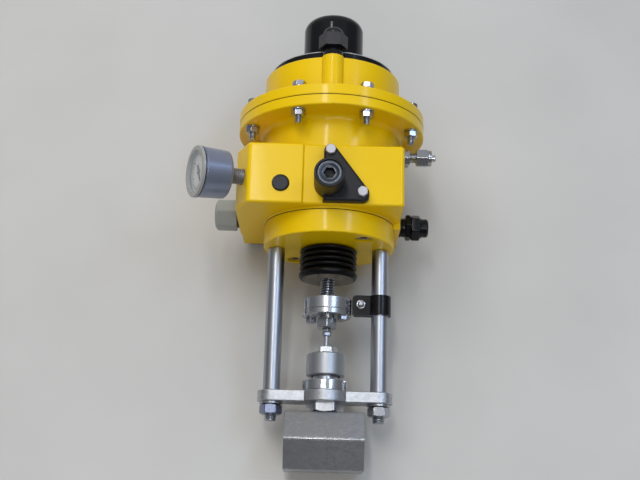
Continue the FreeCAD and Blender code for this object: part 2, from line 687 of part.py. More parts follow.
def pillar(x):
    """One pillar with a stud at each end."""
    stud_bottom = BAR_BOTTOM - YOKE_WASHER_THICKNESS - YOKE_NUT_HEIGHT - STUD_BELOW_NUT
    c = PILLAR_CHAMFER
    return turned(
        [
            (0, stud_bottom),
            (STUD_RADIUS - c, stud_bottom),
            (STUD_RADIUS, stud_bottom + c),
            (STUD_RADIUS, BAR_TOP),
            (PILLAR_RADIUS - c, BAR_TOP),
            (PILLAR_RADIUS, BAR_TOP + c),
            (PILLAR_RADIUS, FLANGE_BOTTOM - c),
            (PILLAR_RADIUS - c, FLANGE_BOTTOM),
            (STUD_RADIUS, FLANGE_BOTTOM),
            (STUD_RADIUS, FLANGE_BOTTOM + STUD_IN_FLANGE),
            (0, FLANGE_BOTTOM + STUD_IN_FLANGE),
        ],
        V(x, 0, 0),
    )


def pillars():
    """The two pillars."""
    return Part.makeCompound([pillar(x) for x in PILLARS])


def yoke_washers():
    """Washers under the bar."""
    level = BAR_BOTTOM - YOKE_WASHER_THICKNESS
    hole = STUD_RADIUS + FIT_GAP
    return Part.makeCompound(
        [tube(YOKE_WASHER_RADIUS, hole, YOKE_WASHER_THICKNESS, V(x, 0, level)) for x in PILLARS]
    )


def yoke_nuts():
    """Nuts that hold the bar on the pillars."""
    level = BAR_BOTTOM - YOKE_WASHER_THICKNESS - YOKE_NUT_HEIGHT
    hole = STUD_RADIUS + FIT_GAP
    return Part.makeCompound([nut(YOKE_NUT_AF, YOKE_NUT_HEIGHT, hole, V(x, 0, level)) for x in PILLARS])


def jam_nuts():
    """Thin nuts locked against the stem adapter."""
    hole = STEM_RADIUS + FIT_GAP
    levels = [JAM_NUT_BOTTOM + i * JAM_NUT_HEIGHT for i in range(JAM_NUT_COUNT)]
    return Part.makeCompound([nut(JAM_NUT_AF, JAM_NUT_HEIGHT - FIT_GAP, hole, V(0, 0, z)) for z in levels])


def stem_adapter():
    """Hexagon with a collar and a spigot that centres the lower coupling disc."""
    solid = hexagon(ADAPTER_AF, ADAPTER_HEX_HEIGHT, V(0, 0, ADAPTER_BOTTOM), Z_AXIS, 30)
    collar = V(0, 0, ADAPTER_BOTTOM + ADAPTER_HEX_HEIGHT)
    solid = solid.fuse(rod(ADAPTER_COLLAR_RADIUS, ADAPTER_COLLAR_HEIGHT, collar))
    solid = solid.fuse(rod(ADAPTER_SPIGOT_RADIUS, ADAPTER_SPIGOT_HEIGHT, V(0, 0, COUPLING_BOTTOM)))
    return solid.cut(rod(STEM_RADIUS + FIT_GAP, COUPLING_TOP, V(0, 0, 0))).removeSplitter()


def coupling_bolt_points(level):
    """The two coupling bolts' places."""
    return [on_circle(COUPLING_BOLT_CIRCLE, COUPLING_BOLT_ANGLE + turn, level) for turn in (0, 180)]


def coupling_disc(bottom, height, hole_radius, hole_height):
    """A coupling disc with guide slots in its rim and holes for its bolts."""
    disc = rod(COUPLING_RADIUS, height, V(0, 0, bottom))
    disc = chamfered(disc, COUPLING_CHAMFER, lambda e: is_circle(e, COUPLING_RADIUS))
    for turn in (-30, 90, 210):
        slot = block(
            (COUPLING_RADIUS - COUPLING_SLOT_DEPTH, -COUPLING_SLOT_WIDTH / 2, bottom),
            (COUPLING_RADIUS + 1, COUPLING_SLOT_WIDTH / 2, bottom + height),
        )
        slot.rotate(V(0, 0, 0), Z_AXIS, turn)
        disc = disc.cut(slot)
    disc = disc.cut(rod(hole_radius, hole_height, V(0, 0, bottom + height - hole_height)))
    for point in coupling_bolt_points(COUPLING_BOTTOM):
        disc = disc.cut(rod(COUPLING_BOLT_RADIUS + FIT_GAP, COUPLING_BOLT_LENGTH, point))
    return disc


def coupling_lower():
    """Lower disc, round the adapter's spigot."""
    hole = ADAPTER_SPIGOT_RADIUS + FIT_GAP
    return coupling_disc(COUPLING_BOTTOM, COUPLING_LOWER_HEIGHT, hole, COUPLING_LOWER_HEIGHT)


def coupling_upper():
    """Upper disc, on the spindle's end."""
    return coupling_disc(COUPLING_SPLIT, COUPLING_UPPER_HEIGHT, SPINDLE_RADIUS + FIT_GAP, SPINDLE_GRIP)


def coupling_bolts():
    """Two bolts from below through both discs."""
    bolts = []
    for point in coupling_bolt_points(COUPLING_BOTTOM):
        head = hexagon(COUPLING_BOLT_AF, COUPLING_BOLT_HEAD, point - V(0, 0, COUPLING_BOLT_HEAD))
        bolts.append(head.fuse(rod(COUPLING_BOLT_RADIUS, COUPLING_BOLT_LENGTH - 0.5, point)).removeSplitter())
    return Part.makeCompound(bolts)


def spindle():
    """Actuator spindle from the coupling to the diaphragm nut, with a collar under the diaphragm."""
    bottom = COUPLING_TOP - SPINDLE_GRIP
    solid = rod(SPINDLE_RADIUS, SPINDLE_TOP - bottom, V(0, 0, bottom))
    solid = chamfered(solid, 0.8, lambda e: is_circle(e, SPINDLE_RADIUS))
    level = PLATE_BOTTOM - DIAPHRAGM_THICKNESS - SPINDLE_COLLAR_HEIGHT
    return solid.fuse(rod(SPINDLE_COLLAR_RADIUS, SPINDLE_COLLAR_HEIGHT, V(0, 0, level))).removeSplitter()


def clamp_bottom():
    """Level of the indicator clamp's lower face, level with the coupling at mid stroke."""
    return COUPLING_BOTTOM + 2.0


def clamp_tip():
    """Where the clamp's ears end beside the coupling."""
    return COUPLING_RADIUS + MOVING_GAP


def clamp_screw_point():
    """Middle of the clamp's screw."""
    x = (clamp_tip() + PILLAR_SPACING / 2 - PILLAR_RADIUS - CLAMP_WALL) / 2
    return V(x, 0, clamp_bottom() + CLAMP_HEIGHT / 2)


def indicator_clamp():
    """Split clamp round the right pillar, with two ears that point at the coupling."""
    x = PILLAR_SPACING / 2
    z = clamp_bottom()
    ear = CLAMP_EAR_THICKNESS + CLAMP_SLIT / 2
    ears = block((clamp_tip(), -ear, z), (x, ear, z + CLAMP_HEIGHT))
    ears = rounded(ears, CLAMP_ROUND, lambda e: spans(e, 0, clamp_tip()) and not spans(e, 1, e.BoundBox.YMin))
    solid = ears.fuse(rod(PILLAR_RADIUS + CLAMP_WALL, CLAMP_HEIGHT, V(x, 0, z)))
    solid = solid.cut(rod(PILLAR_RADIUS + FIT_GAP, CLAMP_HEIGHT, V(x, 0, z)))
    solid = solid.cut(block((0, -CLAMP_SLIT / 2, z), (x, CLAMP_SLIT / 2, z + CLAMP_HEIGHT)))
    point = clamp_screw_point()
    return solid.cut(rod(CLAMP_SCREW_RADIUS + FIT_GAP, 2 * ear, V(point.x, -ear, point.z), Y_AXIS))


def clamp_screw():
    """Screw through the ears, its head at the back."""
    point = clamp_screw_point()
    ear = CLAMP_EAR_THICKNESS + CLAMP_SLIT / 2
    shank = rod(CLAMP_SCREW_RADIUS, CLAMP_SCREW_REACH, V(point.x, ear, point.z), V(0, -1, 0))
    head = rod(CLAMP_SCREW_HEAD_RADIUS, CLAMP_SCREW_HEAD_RADIUS, V(point.x, ear, point.z), Y_AXIS)
    return shank.fuse(head).removeSplitter()


def clamp_nut():
    """Nut on the front of the clamp."""
    point = clamp_screw_point()
    ear = CLAMP_EAR_THICKNESS + CLAMP_SLIT / 2
    seat = V(point.x, -ear, point.z)
    return nut(CLAMP_NUT_AF, CLAMP_NUT_HEIGHT, CLAMP_SCREW_RADIUS + FIT_GAP, seat, V(0, -1, 0), 15)


def bellows():
    """Rubber bellows from the flange's spigot to the spindle."""
    top = FLANGE_BOTTOM
    inner_top = SPIGOT_RADIUS + FIT_GAP
    fold = (BELLOWS_LENGTH - BELLOWS_COLLAR - 1.0) / BELLOWS_FOLDS
    outside = [(BELLOWS_RADIUS - 1.5, top)]
    inside = [(inner_top, top), (inner_top, top - BELLOWS_COLLAR)]
    for i in range(BELLOWS_FOLDS):
        crest = top - 0.8 - i * fold
        outside.append((BELLOWS_RADIUS, crest - 0.5))
        outside.append((BELLOWS_RADIUS, crest - fold + 2.2))
        outside.append((BELLOWS_ROOT_RADIUS, crest - fold + 1.1))
        if i:
            inside.append((BELLOWS_RADIUS - BELLOWS_WALL, crest - 0.9))
            inside.append((BELLOWS_RADIUS - BELLOWS_WALL, crest - fold + 2.6))
            inside.append((BELLOWS_ROOT_RADIUS - BELLOWS_WALL, crest - fold + 1.1))
    hub = SPINDLE_RADIUS + FIT_GAP
    last = top - 0.8 - BELLOWS_FOLDS * fold + 1.1
    outside.append((BELLOWS_RADIUS, last - 1.1))
    outside.append((BELLOWS_RADIUS - 1.5, last - 2.6))
    outside.append((hub + 4.5, BELLOWS_BOTTOM + 1.5))
    outside.append((hub + 3.0, BELLOWS_BOTTOM))
    outside.append((hub, BELLOWS_BOTTOM))
    inside.append((BELLOWS_RADIUS - BELLOWS_WALL - 1.0, last - 1.4))
    inside.append((hub + 3.0, BELLOWS_BOTTOM + 3.4))
    inside.append((hub, BELLOWS_BOTTOM + 3.4))
    return turned(outside + inside[::-1])


def bottom_flange():
    """Round flange that closes the casing from below and carries the pillars."""
    flange = rod(FLANGE_RADIUS, FLANGE_HEIGHT, V(0, 0, FLANGE_BOTTOM))
    flange = rounded(flange, FLANGE_EDGE_ROUND, lambda e: is_circle(e, FLANGE_RADIUS, FLANGE_BOTTOM))
    flange = chamfered(flange, 0.5, lambda e: is_circle(e, FLANGE_RADIUS, FLANGE_TOP))
    flange = flange.fuse(rod(SPIGOT_RADIUS, SPIGOT_HEIGHT, V(0, 0, FLANGE_BOTTOM - SPIGOT_HEIGHT)))
    low = V(0, 0, FLANGE_BOTTOM - SPIGOT_HEIGHT)
    flange = flange.cut(rod(SPINDLE_RADIUS + SPINDLE_CASING_GAP, FLANGE_HEIGHT + SPIGOT_HEIGHT, low))
    pack = BUSH_LENGTH + SEAL_HEIGHT
    flange = flange.cut(rod(BUSH_RADIUS + FIT_GAP, pack, V(0, 0, FLANGE_TOP - pack)))
    for x in PILLARS:
        flange = flange.cut(rod(STUD_RADIUS + FIT_GAP, STUD_IN_FLANGE + 1, V(x, 0, FLANGE_BOTTOM)))
    for angle in FLANGE_SCREW_ANGLES:
        point = on_circle(FLANGE_SCREW_CIRCLE, angle, FLANGE_BOTTOM)
        flange = flange.cut(rod(COUNTERBORE_RADIUS, COUNTERBORE_DEPTH, point))
        flange = flange.cut(rod(FLANGE_SCREW_RADIUS + FIT_GAP, FLANGE_HEIGHT, point))
    return flange.removeSplitter()


def flange_screws():
    """Two socket screws sunk in the bottom flange."""
    screws = []
    for angle in FLANGE_SCREW_ANGLES:
        seat = on_circle(FLANGE_SCREW_CIRCLE, angle, FLANGE_BOTTOM + COUNTERBORE_DEPTH)
        bottom = seat - V(0, 0, FLANGE_SCREW_HEAD)
        screw = rod(FLANGE_SCREW_HEAD_RADIUS, FLANGE_SCREW_HEAD, bottom)
        screw = chamfered(screw, 0.5, lambda e: is_circle(e, FLANGE_SCREW_HEAD_RADIUS, bottom.z))
        screw = screw.fuse(rod(FLANGE_SCREW_RADIUS, FLANGE_SCREW_LENGTH, seat))
        screw = screw.cut(hexagon(FLANGE_SCREW_SOCKET_AF, FLANGE_SCREW_HEAD / 2, bottom))
        screws.append(screw.removeSplitter())
    return Part.makeCompound(screws)


def spindle_bush():
    """Guide bush in the bottom flange."""
    base = V(0, 0, FLANGE_TOP - SEAL_HEIGHT - BUSH_LENGTH)
    return tube(BUSH_RADIUS, SPINDLE_RADIUS + RUNNING_GAP, BUSH_LENGTH, base)


def spindle_seal():
    """Seal above the bush."""
    base = V(0, 0, FLANGE_TOP - SEAL_HEIGHT)
    return tube(BUSH_RADIUS, SPINDLE_RADIUS + RUNNING_GAP, SEAL_HEIGHT, base)


def housing_block():
    """Positioner housing: a block with a slanted facet at the front left and a raised panel beside it."""
    left = -HOUSING_LEFT
    rear_left = left + REAR_STEP
    outline = [
        (left + FACET_X, -PANEL_FRONT),
        (-PANEL_RIGHT, -PANEL_FRONT),
        (-PANEL_RIGHT + PANEL_PROUD, -HOUSING_FRONT),
        (HOUSING_RIGHT, -HOUSING_FRONT),
        (HOUSING_RIGHT, HOUSING_REAR),
        (rear_left, HOUSING_REAR),
        (rear_left, REAR_STEP_START + REAR_STEP),
        (left, REAR_STEP_START),
        (left, -PANEL_FRONT + FACET_Y),
    ]
    wire = Part.makePolygon([V(x, y, HOUSING_BOTTOM) for x, y in outline + outline[:1]])
    solid = Part.Face(wire).extrude(V(0, 0, HOUSING_HEIGHT))

    def upright(edge, x, y):
        return spans(edge, 0, x) and spans(edge, 1, y)

    right_corner = (HOUSING_RIGHT, -HOUSING_FRONT)
    solid = rounded(solid, HOUSING_EDGE_ROUND, lambda e: upright(e, *right_corner))
    panel_corner = (left + FACET_X, -PANEL_FRONT)
    solid = rounded(solid, PANEL_CORNER_ROUND, lambda e: upright(e, *panel_corner))
    facet_corner = (left, -PANEL_FRONT + FACET_Y)
    solid = rounded(solid, HOUSING_CORNER_ROUND, lambda e: upright(e, *facet_corner))

    def rim(edge):
        level = spans(edge, 2, HOUSING_TOP) or spans(edge, 2, HOUSING_BOTTOM)
        return level and edge.BoundBox.YMin < REAR_STEP_START

    return rounded(solid, HOUSING_ROUND, rim)


def gland_pad():
    """Thick pad under the right rear edge, which gives the cable gland's thread its depth."""
    low = (HOUSING_RIGHT - GLAND_PAD_WIDTH, GLAND_PAD_FRONT, HOUSING_BOTTOM - GLAND_PAD_DROP)
    high = (HOUSING_RIGHT, GLAND_PAD_REAR, HOUSING_BOTTOM + HOUSING_ROUND + 1)
    room = rod(FLANGE_RADIUS + GLAND_PAD_GAP, FLANGE_TOP - low[2], V(0, 0, low[2]))
    return block(low, high).cut(room)


def tube_boss():
    """Round-topped boss for the tube fitting, between the housing's top and the casing wall."""
    start = HOUSING_RIGHT - TUBE_BOSS_LENGTH
    boss = rod(TUBE_BOSS_RADIUS, TUBE_BOSS_LENGTH, V(start, TUBE_Y, TUBE_LEVEL), X_AXIS)
    low = (start, TUBE_Y - TUBE_BOSS_RADIUS, HOUSING_TOP - HOUSING_ROUND - 1)
    return boss.fuse(block(low, (HOUSING_RIGHT, TUBE_Y + TUBE_BOSS_RADIUS, TUBE_LEVEL)))


def lower_casing():
    """Casting of the positioner housing, the round neck and the lower flange."""
    neck_foot = HOUSING_TOP - HOUSING_ROUND
    neck = rod(CASING_RADIUS, JOINT_LOWER_FACE - neck_foot, V(0, 0, neck_foot))
    flange = rod(JOINT_RADIUS, LOWER_FLANGE_THICKNESS, V(0, 0, JOINT_UNDERSIDE))
    casting = neck.fuse(flange)
    casting = rounded(casting, CASING_FILLET, lambda e: is_circle(e, CASING_RADIUS, JOINT_UNDERSIDE))
    casting = rounded(casting, JOINT_EDGE_ROUND, lambda e: is_circle(e, JOINT_RADIUS, JOINT_UNDERSIDE))
    casting = casting.fuse(housing_block())
    casting = casting.fuse(tube_boss()).fuse(gland_pad())
    rim = rod(FLANGE_RADIUS + RIM_PROUD, RIM_HEIGHT, V(0, 0, FLANGE_TOP))
    rim = chamfered(rim, RIM_CHAMFER, lambda e: is_circle(e, FLANGE_RADIUS + RIM_PROUD, FLANGE_TOP))
    casting = casting.fuse(rim)
    casting = casting.cut(rod(CASING_BORE, JOINT_LOWER_FACE - CHAMBER_FLOOR, V(0, 0, CHAMBER_FLOOR)))
    casting = casting.cut(rod(SPINDLE_RADIUS + SPINDLE_CASING_GAP, CHAMBER_FLOOR, V(0, 0, FLANGE_TOP)))
    for angle in joint_angles():
        point = on_circle(JOINT_BOLT_CIRCLE, angle, JOINT_UNDERSIDE)
        casting = casting.cut(rod(JOINT_HOLE_RADIUS, LOWER_FLANGE_THICKNESS, point))
    for angle in FLANGE_SCREW_ANGLES:
        depth = FLANGE_SCREW_LENGTH - FLANGE_HEIGHT + COUNTERBORE_DEPTH + 1
        point = on_circle(FLANGE_SCREW_CIRCLE, angle, FLANGE_TOP)
        casting = casting.cut(rod(FLANGE_SCREW_RADIUS + FIT_GAP, depth, point))
    for hole in housing_holes():
        casting = casting.cut(hole)
    return casting.removeSplitter()


def housing_holes():
    """The threaded and plain holes in the housing's walls, and the pocket behind its rear cover."""
    left_gland = V(-HOUSING_LEFT, LEFT_GLAND_Y, HOUSING_BOTTOM + LEFT_GLAND_HEIGHT)
    right_gland = V(HOUSING_RIGHT, RIGHT_GLAND_Y, HOUSING_BOTTOM + RIGHT_GLAND_HEIGHT)
    tube_mouth = V(HOUSING_RIGHT, TUBE_Y, TUBE_LEVEL)
    cover_plug = V(PLUG_COVER_X, -PANEL_FRONT, HOUSING_BOTTOM + PLUG_COVER_HEIGHT)
    adjuster = V(ADJUSTER_X, -HOUSING_FRONT, HOUSING_BOTTOM + ADJUSTER_HEIGHT)
    inward = V(-1, 0, 0)
    holes = [
        rod(GLAND_THREAD_RADIUS + FIT_GAP, GLAND_THREAD_DEPTH + 1, left_gland, X_AXIS),
        rod(GLAND_THREAD_RADIUS + FIT_GAP, GLAND_THREAD_DEPTH + 1, right_gland, inward),
        rod(TUBE_THREAD_RADIUS + FIT_GAP, TUBE_THREAD_DEPTH + 1, tube_mouth, inward),
        rod(GAUGE_SOCKET_RADIUS + FIT_GAP, GAUGE_SOCKET_DEPTH + 2, along_gauge(1), GAUGE_AXIS.negative()),
        rod(PLUG_COVER_SHANK_RADIUS + FIT_GAP, PLUG_COVER_SHANK + 1, cover_plug, Y_AXIS),
        rod(ADJUSTER_SHANK_RADIUS + MOVING_GAP, ADJUSTER_SHANK_GRIP + 1, adjuster, Y_AXIS),
    ]
    for x, z in (BRACKET_TOP_SCREW, BRACKET_SIDE_SCREW):
        point = V(x, -HOUSING_FRONT, HOUSING_BOTTOM + z)
        holes.append(rod(BRACKET_SCREW_RADIUS + FIT_GAP, BRACKET_SCREW_GRIP + 1, point, Y_AXIS))
    for point in cover_screw_points(HOUSING_REAR):
        holes.append(rod(COVER_SCREW_RADIUS + FIT_GAP, COVER_SCREW_GRIP + 1, point, V(0, -1, 0)))
    holes.append(pocket())
    return holes


def pocket():
    """Space for the positioner module, open at the back."""
    low = (-MODULE_WIDTH / 2 - MODULE_GAP, POCKET_FRONT, HOUSING_BOTTOM + POCKET_WALL)
    high = (MODULE_WIDTH / 2 + MODULE_GAP, HOUSING_REAR, HOUSING_TOP - POCKET_WALL)
    return block(low, high)


def positioner_module():
    """Module of the positioner, which stands on the pocket's floor behind the rear cover."""
    low = (-MODULE_WIDTH / 2, HOUSING_REAR - MODULE_DEPTH, HOUSING_BOTTOM + POCKET_WALL)
    high = (MODULE_WIDTH / 2, HOUSING_REAR - MODULE_GAP, HOUSING_BOTTOM + POCKET_WALL + MODULE_HEIGHT)
    module = block(low, high)
    middle = HOUSING_BOTTOM + POCKET_WALL + MODULE_HEIGHT / 2
    barrel = V(-MODULE_WIDTH / 4, HOUSING_REAR - MODULE_DEPTH, middle)
    reach = HOUSING_REAR - MODULE_DEPTH - POCKET_FRONT - 1
    return module.fuse(rod(MODULE_HEIGHT / 4, reach, barrel, V(0, -1, 0))).removeSplitter()


def cover_screw_points(y):
    """The rear cover's four screws."""
    xs = (COVER_LEFT + COVER_SCREW_INSET, COVER_RIGHT - COVER_SCREW_INSET)
    zs = (COVER_BOTTOM + COVER_SCREW_INSET, COVER_BOTTOM + COVER_HEIGHT - COVER_SCREW_INSET)
    return [V(x, y, z) for x in xs for z in zs]


def cover_plate(y, thickness):
    """A plate of the rear cover's outline, drilled for its screws."""
    plate = block((COVER_LEFT, y, COVER_BOTTOM), (COVER_RIGHT, y + thickness, COVER_BOTTOM + COVER_HEIGHT))
    corners = [(x, z) for x in (COVER_LEFT, COVER_RIGHT) for z in (COVER_BOTTOM, COVER_BOTTOM + COVER_HEIGHT)]

    def at_corner(edge):
        box = edge.BoundBox
        upright = any(spans(edge, 0, x) and spans(edge, 2, z) for x, z in corners)
        return upright and box.YLength > thickness / 2

    plate = rounded(plate, COVER_ROUND, at_corner)
    for point in cover_screw_points(y):
        plate = plate.cut(rod(COVER_SCREW_RADIUS + FIT_GAP, thickness, point, Y_AXIS))
    return plate


def rear_cover():
    """Black cover over the back of the housing."""
    cover = cover_plate(HOUSING_REAR, COVER_THICKNESS)
    back = HOUSING_REAR + COVER_THICKNESS

    def outer(edge):
        hole = isinstance(edge.Curve, Part.Circle) and edge.Curve.Radius < COVER_ROUND - 0.1
        return spans(edge, 1, back) and not hole

    return rounded(cover, COVER_EDGE_ROUND, outer)


def rear_cover_screws():
    """Four screws in the rear cover."""
    back = HOUSING_REAR + COVER_THICKNESS
    screws = []
    for point in cover_screw_points(back):
        head = rod(COVER_SCREW_HEAD_RADIUS, COVER_SCREW_HEAD, point, Y_AXIS)
        reach = COVER_THICKNESS + COVER_SCREW_GRIP
        screws.append(head.fuse(rod(COVER_SCREW_RADIUS, reach, point, V(0, -1, 0))).removeSplitter())
    return Part.makeCompound(screws)


def upper_casing():
    """Flanged cup over the spring, with the vertical vent boss at its front."""
    cup = rod(CASING_RADIUS, UPPER_TOP - JOINT_UPPER_FACE, V(0, 0, JOINT_UPPER_FACE))
    cup = cup.fuse(rod(JOINT_RADIUS, UPPER_FLANGE_THICKNESS, V(0, 0, JOINT_UPPER_FACE)))
    cup = rounded(cup, CASING_FILLET, lambda e: is_circle(e, CASING_RADIUS, JOINT_TOP))
    cup = rounded(cup, JOINT_EDGE_ROUND, lambda e: is_circle(e, JOINT_RADIUS, JOINT_TOP))
    cup = rounded(cup, JOINT_EDGE_ROUND, lambda e: is_circle(e, CASING_RADIUS, UPPER_TOP))
    boss_base = V(VENT_BOSS_X, VENT_BOSS_Y, JOINT_TOP - 1)
    cup = cup.fuse(rod(VENT_BOSS_RADIUS, UPPER_TOP - JOINT_TOP + 1, boss_base))
    cup = cup.cut(rod(CASING_BORE, ROOF_UNDERSIDE - JOINT_UPPER_FACE, V(0, 0, JOINT_UPPER_FACE)))
    cup = cup.cut(rod(STOP_SCREW_RADIUS + FIT_GAP, UPPER_ROOF, V(0, 0, ROOF_UNDERSIDE)))
    vent = V(VENT_BOSS_X, VENT_BOSS_Y, UPPER_TOP - VENT_BORE_DEPTH)
    cup = cup.cut(rod(VENT_BORE_RADIUS + FIT_GAP, VENT_BORE_DEPTH, vent))
    for angle in joint_angles():
        point = on_circle(JOINT_BOLT_CIRCLE, angle, JOINT_UPPER_FACE)
        cup = cup.cut(rod(JOINT_HOLE_RADIUS, UPPER_FLANGE_THICKNESS, point))
    return cup.removeSplitter()


def diaphragm():
    """Rubber diaphragm, clamped between the flanges and dished down to the plate."""
    edge = JOINT_RADIUS - DIAPHRAGM_EDGE_INSET
    t = DIAPHRAGM_THICKNESS
    solid = turned(
        [
            (edge, JOINT_LOWER_FACE),
            (CASING_BORE - 0.3, JOINT_LOWER_FACE),
            (PLATE_RADIUS + t, PLATE_BOTTOM - t),
            (SPINDLE_RADIUS + FIT_GAP, PLATE_BOTTOM - t),
            (SPINDLE_RADIUS + FIT_GAP, PLATE_BOTTOM),
            (PLATE_RADIUS + t / 2, PLATE_BOTTOM),
            (CASING_BORE - 1.2, JOINT_UPPER_FACE),
            (edge, JOINT_UPPER_FACE),
        ]
    )
    for angle in joint_angles():
        solid = solid.cut(rod(JOINT_HOLE_RADIUS, t, on_circle(JOINT_BOLT_CIRCLE, angle, JOINT_LOWER_FACE)))
    return solid


def diaphragm_plate():
    """Dished plate that the diaphragm lifts against the spring."""
    rim = PLATE_RADIUS - PLATE_RIM_WALL
    return turned(
        [
            (SPINDLE_RADIUS + FIT_GAP, PLATE_BOTTOM),
            (PLATE_RADIUS - 1.0, PLATE_BOTTOM),
            (PLATE_RADIUS, PLATE_BOTTOM + 1.0),
            (PLATE_RADIUS, PLATE_TOP + PLATE_RIM_HEIGHT),
            (rim, PLATE_TOP + PLATE_RIM_HEIGHT),
            (rim, PLATE_TOP),
            (PLATE_HUB_RADIUS, PLATE_TOP),
            (PLATE_HUB_RADIUS, SPINDLE_NUT_BOTTOM),
            (SPINDLE_RADIUS + FIT_GAP, SPINDLE_NUT_BOTTOM),
        ]
    )


def diaphragm_nut():
    """Nut that clamps the plate on the spindle."""
    return nut(SPINDLE_NUT_AF, SPINDLE_NUT_HEIGHT, SPINDLE_RADIUS + FIT_GAP, V(0, 0, SPINDLE_NUT_BOTTOM))


def range_spring():
    """Spring that closes the valve, between the plate and the roof."""
    return coil(SPRING_RADIUS, SPRING_WIRE_RADIUS, PLATE_TOP, ROOF_UNDERSIDE, SPRING_TURNS)


def casing_bolts():
    """Bolts through the flanges, heads up."""
    bolts = []
    end = JOINT_UNDERSIDE - JOINT_WASHER_THICKNESS - JOINT_NUT_HEIGHT - JOINT_BOLT_END
    seat = JOINT_TOP + JOINT_WASHER_THICKNESS
    for angle in joint_angles():
        point = on_circle(JOINT_BOLT_CIRCLE, angle, seat)
        head = hexagon(JOINT_BOLT_AF, JOINT_BOLT_HEAD, point, Z_AXIS, angle)
        shank = rod(JOINT_BOLT_RADIUS, seat - end, V(point.x, point.y, end))
        bolts.append(head.fuse(shank).removeSplitter())
    return Part.makeCompound(bolts)


def casing_washers():
    """Washers under the heads and under the nuts of the flange bolts."""
    hole = JOINT_BOLT_RADIUS + FIT_GAP
    washers = []
    for level in (JOINT_UNDERSIDE - JOINT_WASHER_THICKNESS, JOINT_TOP):
        for angle in joint_angles():
            base = on_circle(JOINT_BOLT_CIRCLE, angle, level)
            washers.append(tube(JOINT_WASHER_RADIUS, hole, JOINT_WASHER_THICKNESS, base))
    return Part.makeCompound(washers)


def casing_nuts():
    """Nuts of the flange bolts."""
    level = JOINT_UNDERSIDE - JOINT_WASHER_THICKNESS - JOINT_NUT_HEIGHT
    hole = JOINT_BOLT_RADIUS + FIT_GAP
    return Part.makeCompound(
        [
            nut(JOINT_BOLT_AF, JOINT_NUT_HEIGHT, hole, on_circle(JOINT_BOLT_CIRCLE, angle, level), Z_AXIS, 30)
            for angle in joint_angles()
        ]
    )


def top_plate():
    """Black plate on the upper casing, scalloped round the vent, with a spigot for the cap."""
    plate = rod(TOP_PLATE_RADIUS, TOP_PLATE_THICKNESS, V(0, 0, UPPER_TOP))
    plate = chamfered(plate, TOP_PLATE_CHAMFER, lambda e: is_circle(e, TOP_PLATE_RADIUS, TOP_PLATE_TOP))
    spigot = CAP_RADIUS - CAP_WALL - FIT_GAP
    plate = plate.fuse(rod(spigot, TOP_PLATE_SPIGOT_HEIGHT, V(0, 0, TOP_PLATE_TOP)))
    notch = V(VENT_BOSS_X, VENT_BOSS_Y, UPPER_TOP)
    plate = plate.cut(rod(VENT_BOSS_RADIUS + 0.4, TOP_PLATE_THICKNESS, notch))
    depth = TOP_PLATE_THICKNESS + TOP_PLATE_SPIGOT_HEIGHT
    return plate.cut(rod(STOP_SCREW_RADIUS + FIT_GAP, depth, V(0, 0, UPPER_TOP))).removeSplitter()


def cap():
    """Black cap over the travel stop."""
    shell = rod(CAP_RADIUS, CAP_HEIGHT, V(0, 0, TOP_PLATE_TOP))
    shell = rounded(shell, CAP_ROUND, lambda e: is_circle(e, CAP_RADIUS, CAP_TOP))
    inner = CAP_RADIUS - CAP_WALL
    inside = rod(inner, CAP_HEIGHT - CAP_WALL, V(0, 0, TOP_PLATE_TOP))
    inside = rounded(inside, CAP_ROUND - CAP_WALL, lambda e: is_circle(e, inner, CAP_TOP - CAP_WALL))
    return shell.cut(inside)


def stop_screw():
    """Travel stop above the spindle."""
    bottom = SPINDLE_TOP + STROKE + STOP_GAP
    top = TOP_PLATE_TOP + TOP_PLATE_SPIGOT_HEIGHT + STOP_NUT_HEIGHT + STOP_SCREW_OVER_NUT
    solid = rod(STOP_SCREW_RADIUS, top - bottom, V(0, 0, bottom))
    return chamfered(solid, 0.6, lambda e: is_circle(e, STOP_SCREW_RADIUS))


def stop_nut():
    """Lock nut of the travel stop."""
    base = V(0, 0, TOP_PLATE_TOP + TOP_PLATE_SPIGOT_HEIGHT)
    return nut(STOP_NUT_AF, STOP_NUT_HEIGHT, STOP_SCREW_RADIUS + FIT_GAP, base)


def vent_body():
    """Tapered base of the vent fitting, screwed into its boss."""
    shank = VENT_BORE_RADIUS
    return turned(
        [
            (0, UPPER_TOP - VENT_BORE_DEPTH + 1),
            (shank, UPPER_TOP - VENT_BORE_DEPTH + 1),
            (shank, UPPER_TOP),
            (VENT_BOSS_RADIUS, UPPER_TOP),
            (VENT_CONE_TOP_RADIUS, UPPER_TOP + VENT_CONE_HEIGHT),
            (0, UPPER_TOP + VENT_CONE_HEIGHT),
        ],
        V(VENT_BOSS_X, VENT_BOSS_Y, 0),
    )


def vent_cap():
    """Hexagon cap with a rounded top on the vent fitting."""
    base = V(VENT_BOSS_X, VENT_BOSS_Y, UPPER_TOP + VENT_CONE_HEIGHT)
    hexed = hexagon(VENT_HEX_AF, VENT_HEX_HEIGHT, base)
    dome = rod(VENT_DOME_RADIUS, VENT_DOME_HEIGHT, base + V(0, 0, VENT_HEX_HEIGHT))
    top = base.z + VENT_HEX_HEIGHT + VENT_DOME_HEIGHT
    dome = rounded(dome, VENT_DOME_HEIGHT * 0.7, lambda e: is_circle(e, VENT_DOME_RADIUS, top))
    return hexed.fuse(dome).removeSplitter()


def along_gauge(distance):
    """A point on the gauge's axis, out from the housing's facet."""
    return GAUGE_BASE + GAUGE_AXIS * distance


def on_gauge(distance):
    """The placement of a shape on the gauge's axis."""
    return FreeCAD.Placement(along_gauge(distance), FreeCAD.Rotation(Z_AXIS, GAUGE_AXIS))


